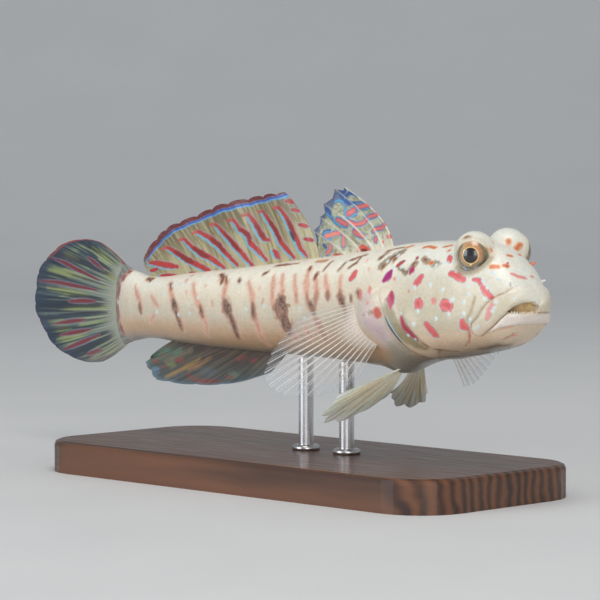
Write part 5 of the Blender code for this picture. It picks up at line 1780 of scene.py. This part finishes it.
# Grounds of the fins: share of the way out, tone
FIRST_DORSAL_TONES = (
    (0.0, tone(238, 230, 212)), (0.18, tone(222, 216, 194)), (0.4, tone(188, 186, 156)),
    (1.0, tone(168, 172, 144)),
)
SECOND_DORSAL_TONES = (
    (0.0, tone(216, 206, 172)), (0.14, tone(186, 174, 134)), (0.5, KHAKI), (0.9, tone(136, 124, 94)),
)
ANAL_TONES = (
    (0.0, tone(98, 74, 56)), (0.3, tone(80, 64, 54)), (0.6, tone(82, 80, 74)), (1.0, tone(80, 98, 104)),
)
CAUDAL_TONES = (
    (0.0, tone(196, 192, 174)), (0.2, tone(150, 156, 142)), (0.42, tone(78, 98, 96)), (0.7, tone(56, 80, 88)),
    (1.0, tone(34, 56, 78)),
)
PECTORAL_TONES = ((0.0, tone(232, 216, 206)), (0.2, tone(212, 204, 194)), (1.0, tone(176, 186, 198)))
PELVIC_TONES = (
    (0.0, tone(232, 222, 202)), (0.3, tone(240, 236, 214)), (0.75, tone(228, 234, 218)),
    (1.0, tone(244, 250, 250)),
)
RED_SPOT = ((2.96, 0.22), (2.60, 0.25), (2.38, 0.17))  # low on the first dorsal fin's middle

# Layers of the fins' marks: half width, tone, and then as in the skin's layers
DEEP_BLUES = ((0.3, tone(26, 84, 156), 0.1, 0.95, 0.15),)
LIGHT_BLUES = (
    (0.26, tone(34, 92, 160), 0.08, 0.9, 0.15),
    (0.14, tone(86, 168, 210), 0.08, 0.9, 0.15),
)
RED_SPOT_LAYERS = (
    (0.62, tone(170, 196, 200), 0.14, 0.7, 0.1),
    (0.5, tone(220, 86, 52), 0.12, 0.95, 0.15),
)
BAR_BLUES = (
    (0.62, tone(160, 190, 196), 0.14, 0.55, 0.1, 0, 0.5),
    (0.5, FIN_BLUE, 0.1, 0.95, 0.1, 0, 0.5),
)
DORSAL_SPOT_LAYERS = (
    (0.46, tone(150, 180, 186), 0.12, 0.6, 0.12),
    (0.36, tone(178, 46, 54), 0.1, 0.97, 0.15, 0, 0.7),
)
CAUDAL_STRIPE_LAYERS = (
    (0.52, tone(146, 146, 166), 0.16, 0.75, 0.08, 0, 0.3),
    (0.36, tone(120, 26, 34), 0.12, 0.95, 0.12, 0, 0.3),
)
CAUDAL_SPOT_LAYERS = (
    (0.52, tone(170, 92, 88), 0.25, 0.75, 0.3, 0, 0.7),
    (0.3, tone(116, 44, 46), 0.2, 0.75, 0.4, 0, 0.7),
)


# Ray, and how far out the dusky margin of the first dorsal fin starts
DUSK_LINE = (
    (0, 0.99), (0.3, 0.96), (0.6, 0.9), (1.2, 0.86), (1.6, 0.9), (2.1, 0.9), (3, 0.93), (4, 0.9), (5, 0.9),
)
# Ray, and how far out the blue line under the second dorsal fin's margin runs
BLUE_LINE_AT = ((-0.5, 0.97), (0.3, 0.95), (2, 0.925), (6, 0.92), (8.5, 0.89), (10, 0.83))


def build_first_dorsal(material):
    """Clear web on slender spines, with red patches outlined in blue and a dusky margin."""
    form = {"reach": 0.985, "notch": 0.035, "spiky": 0.015, "lead": 0.06, "split": 0.0, "branch": 0.05}
    fin = Fin("first_dorsal_fin", first_dorsal, 6, ray_half=0.14, line_wide=0.07, **form)
    paint = fin.ground(FIRST_DORSAL_TONES, 61)
    along, ray, line, _ = fin.fields()
    mottle = paint.wobble + paint.fine
    paint.lay(tone(122, 120, 90), smooth_step(0.0, 0.35, mottle) * 0.6 * smooth_step(0.12, 0.3, along))
    paint.lay(tone(202, 206, 196), smooth_step(0.0, -0.4, mottle) * 0.5)
    dusk_at = np.interp(ray, *zip(*DUSK_LINE))
    dusk = smooth_step(dusk_at - 0.03, dusk_at + 0.04, along + 0.03 * paint.wobble)
    paint.lay(tone(52, 74, 122), dusk * 0.85)
    fin.mark_all(FIRST_DORSAL_DEEPS, DEEP_BLUES)
    fin.mark_all(FIRST_DORSAL_LIGHTS, LIGHT_BLUES)
    for spots, width in FIRST_DORSAL_MARKS:
        if width > 0.25:
            fin.mark(spots, width + 0.25, tone(130, 184, 206), 0.1, 0.75, 0.3)
            fin.mark(spots, width + 0.14, tone(44, 102, 160), 0.08, 0.85, 0.3)
        fill = tone(226, 126, 100) if spots[0][0] > 3 else tone(216, 94, 98)
        fin.mark(spots, width, fill, 0.08, 0.98, 0.15)
        fin.mark(spots, width * 0.5, tone(232, 134, 122), 0.14, 0.6, 0.3)
    fin.mark_all([RED_SPOT], RED_SPOT_LAYERS)
    fin.mark(((2.89, 0.20), (2.53, 0.18)), 0.26, tone(110, 14, 16), 0.16, 0.95, 0.3)
    fin.mark(((4.47, 0.34), (4.27, 0.27), (4.06, 0.23)), 0.24, tone(210, 72, 60), 0.12, 0.95, 0.2, ends=0.5)
    broad = np.exp(-(((ray - np.round(ray)) / 0.13) ** 2)) * smooth_step(0.55, 0.1, along)
    paint.lay(tone(238, 230, 208), broad * 0.75)
    paint.lay(tone(232, 226, 208), line * (0.8 - 0.3 * smooth_step(0.5, 0.95, along)))
    front = np.exp(-(((ray + 0.04) / 0.06) ** 2))
    paint.lay(tone(244, 238, 226), front * 0.85)
    for band in (0.73, 0.60, 0.45, 0.27):
        fin.mark(((0.0, band - 0.01), (0.0, band + 0.01)), 0.26, tone(216, 100, 98), 0.1, 0.9, 0.1)
    return fin.build(0.95, material, "fin")


def lay_dorsal_bar(fin, spots):
    """A slanting red bar with a blue edge behind it and a pale one ahead, darker where it is long."""
    long_bar = len(spots) > 4
    body = spots[1:] if long_bar else spots
    behind = [(r + 0.13, a) for r, a in body]
    ahead = [(r - 0.1, a) for r, a in body]
    fin.mark_all([behind], BAR_BLUES)
    fin.mark(ahead, 0.54, tone(170, 152, 158), 0.12, 0.6, 0.1, ends=0.5)
    fin.mark(spots, 0.36, tone(204, 92, 92), 0.1, 0.95, 0.15, ends=0.7)
    fin.mark(body, 0.52, tone(180, 52, 48), 0.12, 0.95, 0.2, ends=0.4)
    if long_bar:
        fin.mark(body[1:4], 0.4, tone(128, 34, 34), 0.2, 0.85, 0.3, ends=0.4)


def build_second_dorsal(material):
    """Khaki web with rows of red bars, under a bright blue line and a dull red margin."""
    form = {"lobe": 0.04, "lead": 0.45, "trail": 0.35, "rounding": 0.04, "rear_round": 0.25}
    fin = Fin("second_dorsal_fin", second_dorsal, SECOND_DORSAL_RAYS, split=0.3, branch=0.2, **form)
    paint = fin.ground(SECOND_DORSAL_TONES, 62)
    along, ray, line, fibres = fin.fields()
    paint.lay(tone(206, 198, 158), smooth_step(0.45, 0.15, fibres) * 0.55)
    paint.lay(tone(112, 104, 72), smooth_step(0.55, 0.85, fibres) * 0.65)
    paint.lay(PALE_RAY, line * 0.5)
    between = np.abs(ray - np.round(ray)) * 2
    line_at = np.interp(ray, *zip(*BLUE_LINE_AT))
    line_at = line_at - 0.014 * between**2 + 0.012 * paint.wobble
    for spots in SECOND_DORSAL_BARS:
        lay_dorsal_bar(fin, spots)
    fin.mark(((0.76, 0.48), (0.7, 0.36)), 0.3, tone(40, 32, 44), 0.16, 0.9, 0.2, ends=0.6)
    slants = [((r - 0.32, a - 0.01), (r + 0.14, a + 0.02)) for r, a in SECOND_DORSAL_SPOTS]
    fin.mark_all(slants, DORSAL_SPOT_LAYERS)
    shadow = np.exp(-(((line - 0.2) / 0.25) ** 2)) * smooth_step(0.55, 0.85, along)
    paint.lay(tone(92, 80, 54), shadow * 0.4)
    margin = smooth_step(0.01, 0.03, along - line_at)
    paint.lay(MARGIN, margin * (1 - 0.7 * smooth_step(9.3, 10.2, ray)))
    flecks = smooth_step(0.5, 0.8, fibres)
    paint.lay(tone(144, 88, 84), smooth_step(0.04, 0.08, along - line_at) * flecks * 0.5)
    fading = 1 - 0.8 * smooth_step(9.6, 10.3, ray)
    paint.lay(tone(96, 186, 230), np.exp(-(((along - line_at + 0.02) / 0.011) ** 2)) * 0.8 * fading)
    paint.lay(BLUE_LINE, np.exp(-(((along - line_at) / 0.014) ** 2)) * 0.98 * fading)
    return fin.build(0.97, material, "fin")


def build_anal(material):
    """Dark brown web with green and yellow streaks and dull red marks, bluish at the margin."""
    form = {"lobe": 0.03, "rear_round": 0.1, "trail": 0.15, "split": 0.3, "bulge": 0.05, "bulge_at": 6.5}
    fin = Fin("anal_fin", anal, ANAL_RAYS, **form)
    paint = fin.ground(ANAL_TONES, 63)
    along, ray, line, fibres = fin.fields()
    teal = smooth_step(4.5, 7.5, ray) * smooth_step(0.35, 0.6, along)
    paint.lay(tone(88, 116, 98), teal * 0.75)
    for spots, width, tone_of in ANAL_STREAKS:
        fin.mark(spots, width * 1.2, tone_of, 0.5, 0.7, 0.4, ends=0.6)
    for spots, width in ANAL_REDS:
        fin.mark(spots, width, tone(150, 66, 64), 0.4, 0.85, 0.4, ends=0.7)
    paint.lay(tone(124, 112, 92), smooth_step(0.45, 0.2, fibres) * 0.35)
    paint.lay(tone(52, 44, 40), smooth_step(0.52, 0.8, fibres) * 0.5)
    paint.lay(tone(140, 130, 110), line * 0.22)
    whole = np.broadcast_to(fin.along[-1], fin.along.shape).ravel()
    edge = smooth_step(0.93, 1.0, along / np.maximum(whole, 0.5))
    paint.lay(tone(116, 146, 164), edge * 0.6)
    return fin.build(0.97, material, "fin")


def build_caudal(material):
    """Dark blue-green web with olive clouds, dark red stripes edged with grey, and a red upper margin."""
    fin = Fin("caudal_fin", caudal, CAUDAL_RAYS, lobe=0.015, split=0.25, branch=0.22)
    paint = fin.ground(CAUDAL_TONES, 64)
    along, ray, line, fibres = fin.fields()
    for spots, width in CAUDAL_GREENS:
        fin.mark(spots, width, tone(150, 160, 92), 0.5, 0.9, 0.2, ends=0.3)
    slow = noise(np.stack([ray * 1.7, along * 5.0, ray * 0.0], axis=-1), 1.0, 67)
    green = smooth_step(0.4, 0.54, slow) * smooth_step(0.08, 0.3, along) * smooth_step(1.0, 0.75, along)
    paint.lay(tone(138, 152, 98), green * smooth_step(0.58, 0.44, fibres) * 0.85)
    paint.lay(tone(18, 30, 48), smooth_step(0.54, 0.74, fibres) * 0.8 * smooth_step(0.1, 0.3, along))
    paint.lay(tone(166, 176, 152), smooth_step(0.42, 0.22, fibres) * 0.55 * (1 - 0.5 * along))
    paint.lay(tone(176, 178, 160), line * 0.45 * (1 - 0.7 * along))
    fin.mark(((8.3, 0.2), (8.3, 0.75)), 0.34, tone(20, 34, 52), 0.2, 0.85, 0.1, ends=0.3)
    fin.mark(((2.26, 0.69), (2.32, 0.48)), 0.3, tone(26, 42, 62), 0.2, 0.8, 0.1, ends=0.3)
    fin.mark_all(CAUDAL_STRIPES, CAUDAL_STRIPE_LAYERS)
    fin.mark_all(CAUDAL_BASE_SPOTS, CAUDAL_SPOT_LAYERS)
    paint.lay(tone(34, 56, 84), smooth_step(0.8, 1.0, along) * 0.45)
    upper = smooth_step(5.0, 3.4, ray) * smooth_step(0.945, 0.97, along)
    upper = np.maximum(upper, smooth_step(0.3, 0.12, ray) * smooth_step(0.25, 0.4, along))
    paint.lay(tone(152, 68, 70), upper * 0.85)
    paint.lay(tone(160, 150, 140), smooth_step(11.5, 13.5, ray) * 0.4)
    return fin.build(0.98, material, "fin")


def build_pectoral(side_name, material):
    """Clear web, opaque only near its root and along its pale rays."""
    form = {"notch": 0.03, "split": 0.15, "branch": 0.16, "ray_wide": 0.07, "line_wide": 0.06}
    fin = Fin(f"pectoral_fin_{side_name}", pectoral_surface(side_name), 17, ray_half=0.08, **form)
    paint = fin.ground(PECTORAL_TONES, 65)
    along, _, line, _ = fin.fields()
    paint.lay(tone(228, 208, 188), line * 0.95)
    paint.lay(tone(214, 214, 218), line * smooth_step(0.85, 1.0, along) * 0.5)
    web = 0.08 + 0.8 * smooth_step(0.3, 0.06, fin.along)
    cover = np.clip(web + (0.98 - web) * np.minimum(fin.line * 1.5, 1.0), 0.0, 1.0)
    return fin.build(cover, material, "fin_clear")


def build_pelvic(side, material):
    """Thick cream rays with olive flecks between them and yellow streaks."""
    name = "right" if side > 0 else "left"
    form = {"notch": 0.09, "ridges": 3, "split": 0.6, "branch": 0.1, "ray_wide": 0.1, "line_wide": 0.1}
    fin = Fin(f"pelvic_fin_{name}", pelvic_surface(side), 6, **form)
    paint = fin.ground(PELVIC_TONES, 66)
    _, _, line, fibres = fin.fields()
    paint.lay(tone(160, 158, 132), smooth_step(0.52, 0.8, fibres) * 0.6)
    paint.lay(tone(244, 242, 226), line * 0.5)
    for ray in (0.7, 1.5, 2.5, 3.6):
        fin.mark(((ray, 0.25), (ray + 0.1, 0.8)), 0.2, tone(214, 178, 104), 0.25, 0.55, 0.3, ends=0.3)
    return fin.build(0.97, material, "fin_pale")


# Small parts of the face

TEETH_PER_SIDE = 13
TOOTH_TALL = 0.42
TOOTH_HALF = 0.1
TOOTH_SIDES = 10
TOOTH_FORM = ((0, 0.4), (0, 1), (0.4, 0.86), (0.8, 0.5), (1, 0.1))  # rings: shares of height and radius
# Nostril tubes: back and turn on the right, back and turn on the left, radius, height, tone
NOSTRILS = (
    (2.2, 44, 2.6, -47, 0.16, 0.6, tone(236, 236, 232)),
    (3.75, 24, 4.4, -33, 0.2, 0.8, tone(230, 138, 120)),
)
NOSTRIL_SIDES = 20
# Rings of a tube: shares of its height, and of its radius outside and inside
TUBE_OUTSIDE = ((0.0, 1.5), (0.3, 1.05), (0.8, 0.92), (0.97, 0.86), (1.0, 0.75))
TUBE_INSIDE = ((0.93, 1.0), (0.4, 0.8), (0.35, 0.1))
TUBE_BORE = 0.55
TUBE_SUNK = 0.1


def joined(pieces):
    """Points and quads of several small grids as one list of each."""
    points, faces, count = [], [], 0
    for part_points, part_faces in pieces:
        points.append(part_points)
        faces.append(np.asarray(part_faces) + count)
        count += len(part_points)
    return np.concatenate(points), np.concatenate(faces)


def frame_round(way):
    """Two unit directions square to a way."""
    way = np.asarray(way, float)
    helper = np.array([0.0, 0.0, 1.0]) if abs(way[2]) < 0.9 else np.array([1.0, 0.0, 0.0])
    first = np.cross(way, helper)
    first /= np.linalg.norm(first)
    return first, np.cross(way, first)


def turned_form(foot, way, outline, sides):
    """Rings of (height, radius) about a way, in metres, the ends drawn to small rings."""
    first, second = frame_round(way)
    angles = np.linspace(0, 2 * np.pi, sides, endpoint=False)
    ring = np.cos(angles)[:, None] * first + np.sin(angles)[:, None] * second
    rows = [foot + np.asarray(way) * height + ring * radius for height, radius in outline]
    return np.concatenate(rows), grid_faces(len(outline), sides, wrap=True)


def build_teeth(material):
    """Small pegs along the lower edge of the mouth on both sides."""
    rng = np.random.default_rng(7)
    forms = []
    spans, _, lowers = (np.array(column) for column in zip(*MOUTH_GAPE))
    for side in (1, -1):
        for i in range(TEETH_PER_SIDE):
            out = 0.6 + 3.2 * i / (TEETH_PER_SIDE - 1) + rng.uniform(-0.05, 0.05)
            tall = TOOTH_TALL * rng.uniform(0.75, 1.1) * MM
            back = 0.3 + 0.42 * (out / 2.6) ** 2.2
            foot = place(back, side * out, np.interp(out, spans, lowers) - 0.06)
            upright = forward_at(0.0) * 0.25 + np.array([0.0, 0.0, 1.0])
            way = upright + right_at(0.0) * rng.uniform(-0.15, 0.15)
            way = way / np.linalg.norm(way)
            outline = [(tall * high, TOOTH_HALF * MM * wide) for high, wide in TOOTH_FORM]
            forms.append(turned_form(foot, way, outline, TOOTH_SIDES))
    points, faces = joined(forms)
    made = mesh_object("goby_teeth", points, faces)
    return finish_piece(made, material, "skin")


def build_nostrils(material):
    """Two short tubes on each side of the snout, the front one pale and the rear one pink."""
    forms, colours = [], []
    for right_back, right_turn, left_back, left_turn, half, tall, shade_of in NOSTRILS:
        for back, turn in ((right_back, right_turn), (left_back, left_turn)):
            foot = skin_place(np.array(back), np.array(float(turn)))
            way = skin_ways(np.array([back]), np.array([float(turn)]))[0]
            way = way + forward_at(back) * 0.35
            way = way / np.linalg.norm(way)
            foot = foot - way * TUBE_SUNK * MM
            outer, bore, top = half * MM, half * TUBE_BORE * MM, tall * MM
            outline = [(top * high, outer * wide) for high, wide in TUBE_OUTSIDE]
            outline += [(top * high, bore * wide) for high, wide in TUBE_INSIDE]
            points, faces = turned_form(foot, way, outline, NOSTRIL_SIDES)
            forms.append((points, faces))
            shades = np.tile(shade_of, (len(points), 1))
            # painted shade: the bore's two inner rings are painted darker
            shades[-2 * NOSTRIL_SIDES :] = shade_of * 0.85
            colours.append(shades)
    points, faces = joined(forms)
    made = mesh_object("goby_nostrils", points, faces)
    set_colours(made, "paint", np.concatenate(colours))
    set_values(made, "scaly", np.zeros(len(points)))
    return finish_piece(made, material, "skin")


# Stand: the solids of the base and rods, with a collar at the foot of each rod

BASE_TOP = 5.0
COLLAR = ((0.0, 1.16), (0.0, 2.1), (0.5, 2.1), (0.75, 1.95), (0.85, 1.7), (0.85, 1.16))
ROD_BACKS = (39.2, 47.8)


def dress_stand(wood, steel):
    for node, material in (("stand_base", wood), ("stand_rod_front", steel), ("stand_rod_rear", steel)):
        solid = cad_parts[node]
        solid.data.materials.clear()
        solid.data.materials.append(material)
    forms = []
    for back in ROD_BACKS:
        foot = place(back, 0.0, 0.0)
        foot[2] = BASE_TOP * MM
        outline = [(height * MM, radius * MM) for height, radius in COLLAR]
        forms.append(turned_form(foot, (0.0, 0.0, 1.0), outline, 48))
    points, faces = joined(forms)
    made = mesh_object("stand_collars", points, faces, smooth=False)
    return finish_piece(made, steel, "stand_steel")


# Studio


def build_studio(material):
    """A pale floor that sweeps up behind the model."""
    outline = [(-1.2, 0.0)]
    outline += [(0.55 + 0.5 * math.sin(a), 0.5 - 0.5 * math.cos(a)) for a in np.linspace(0, math.pi / 2, 24)]
    outline += [(1.05, 1.6)]
    side = np.array([math.cos(math.radians(45)), math.sin(math.radians(45)), 0.0])
    away = np.array([-side[1], side[0], 0.0])
    points, rows = [], len(outline)
    for depth, height in outline:
        for across in (-2.0, 2.0):
            points.append(away * depth + side * across + np.array([0.0, 0.0, height]))
    floor = mesh_object("studio_sweep", np.array(points), grid_faces(rows, 2))
    floor.data.materials.append(material)
    floor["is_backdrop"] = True


def area_light(name, place_of, target, size, power, shade_of):
    light = bpy.data.lights.new(name, "AREA")
    light.shape = "RECTANGLE"
    light.size, light.size_y = size
    light.energy = power
    light.color = tone(*shade_of)
    made = bpy.data.objects.new(name, light)
    made.location = place_of
    made.rotation_euler = (Vector(target) - Vector(place_of)).to_track_quat("-Z", "Y").to_euler()
    bpy.context.scene.collection.objects.link(made)


def light_scene():
    area_light("key_light", (0.22, -0.16, 0.62), (0, 0, 0.03), (0.35, 0.35), 1.8, (255, 251, 244))
    area_light("front_light", (0.55, -0.38, 0.16), (0, 0, 0.03), (0.3, 0.3), 1.0, (255, 252, 248))
    area_light("side_light", (-0.2, -0.6, 0.14), (0, 0, 0.03), (0.35, 0.35), 1.5, (246, 250, 255))
    world = bpy.data.worlds.new("studio_air")
    world.use_nodes = True
    sky = world.node_tree.nodes["Background"]
    sky.inputs["Color"].default_value = (*tone(236, 240, 244), 1.0)
    sky.inputs["Strength"].default_value = 0.45
    bpy.context.scene.world = world
    bpy.context.scene.view_settings.view_transform = "Standard"


CAMERA_TARGET = (0.0, 0.0, 0.028)
CAMERA_DISTANCE = 0.42
CAMERA_AZIMUTH = 45.0
CAMERA_ELEVATION = 3.0
CAMERA_LENS = 165.06
CAMERA_SENSOR = 36.0


def set_camera():
    azimuth, elevation = math.radians(CAMERA_AZIMUTH), math.radians(CAMERA_ELEVATION)
    level = math.cos(elevation)
    way = Vector((math.sin(azimuth) * level, -math.cos(azimuth) * level, math.sin(elevation)))
    camera = bpy.data.cameras.new("camera")
    camera.lens = CAMERA_LENS
    camera.sensor_width = CAMERA_SENSOR
    camera.clip_start = 0.01
    made = bpy.data.objects.new("camera", camera)
    made.location = Vector(CAMERA_TARGET) + way * CAMERA_DISTANCE
    made.rotation_euler = (-way).to_track_quat("-Z", "Y").to_euler()
    bpy.context.scene.collection.objects.link(made)
    bpy.context.scene.camera = made


def build_goby():
    skin = skin_material()
    build_skin(skin)
    build_nostrils(skin)
    build_teeth(tooth_material())
    eye = eye_material()
    for side in (1, -1):
        build_eye(side, eye)
    fin = fin_material("goby_fin", 0.42, 0.2)
    for build in (build_first_dorsal, build_second_dorsal, build_anal, build_caudal):
        build(fin)
    clear = fin_material("goby_fin_clear", 0.3, 0.4)
    for side_name in ("right", "left"):
        build_pectoral(side_name, clear)
    pale = fin_material("goby_fin_pale", 0.4, 0.2)
    for side in (1, -1):
        build_pelvic(side, pale)


build_goby()
dress_stand(wood_material(), steel_material())
build_studio(studio_material())
light_scene()
set_camera()

boxes = {"cad": CAD_BOX, "visual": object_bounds()}
{name: [[float(v) for v in corner] for corner in box] for name, box in boxes.items()}
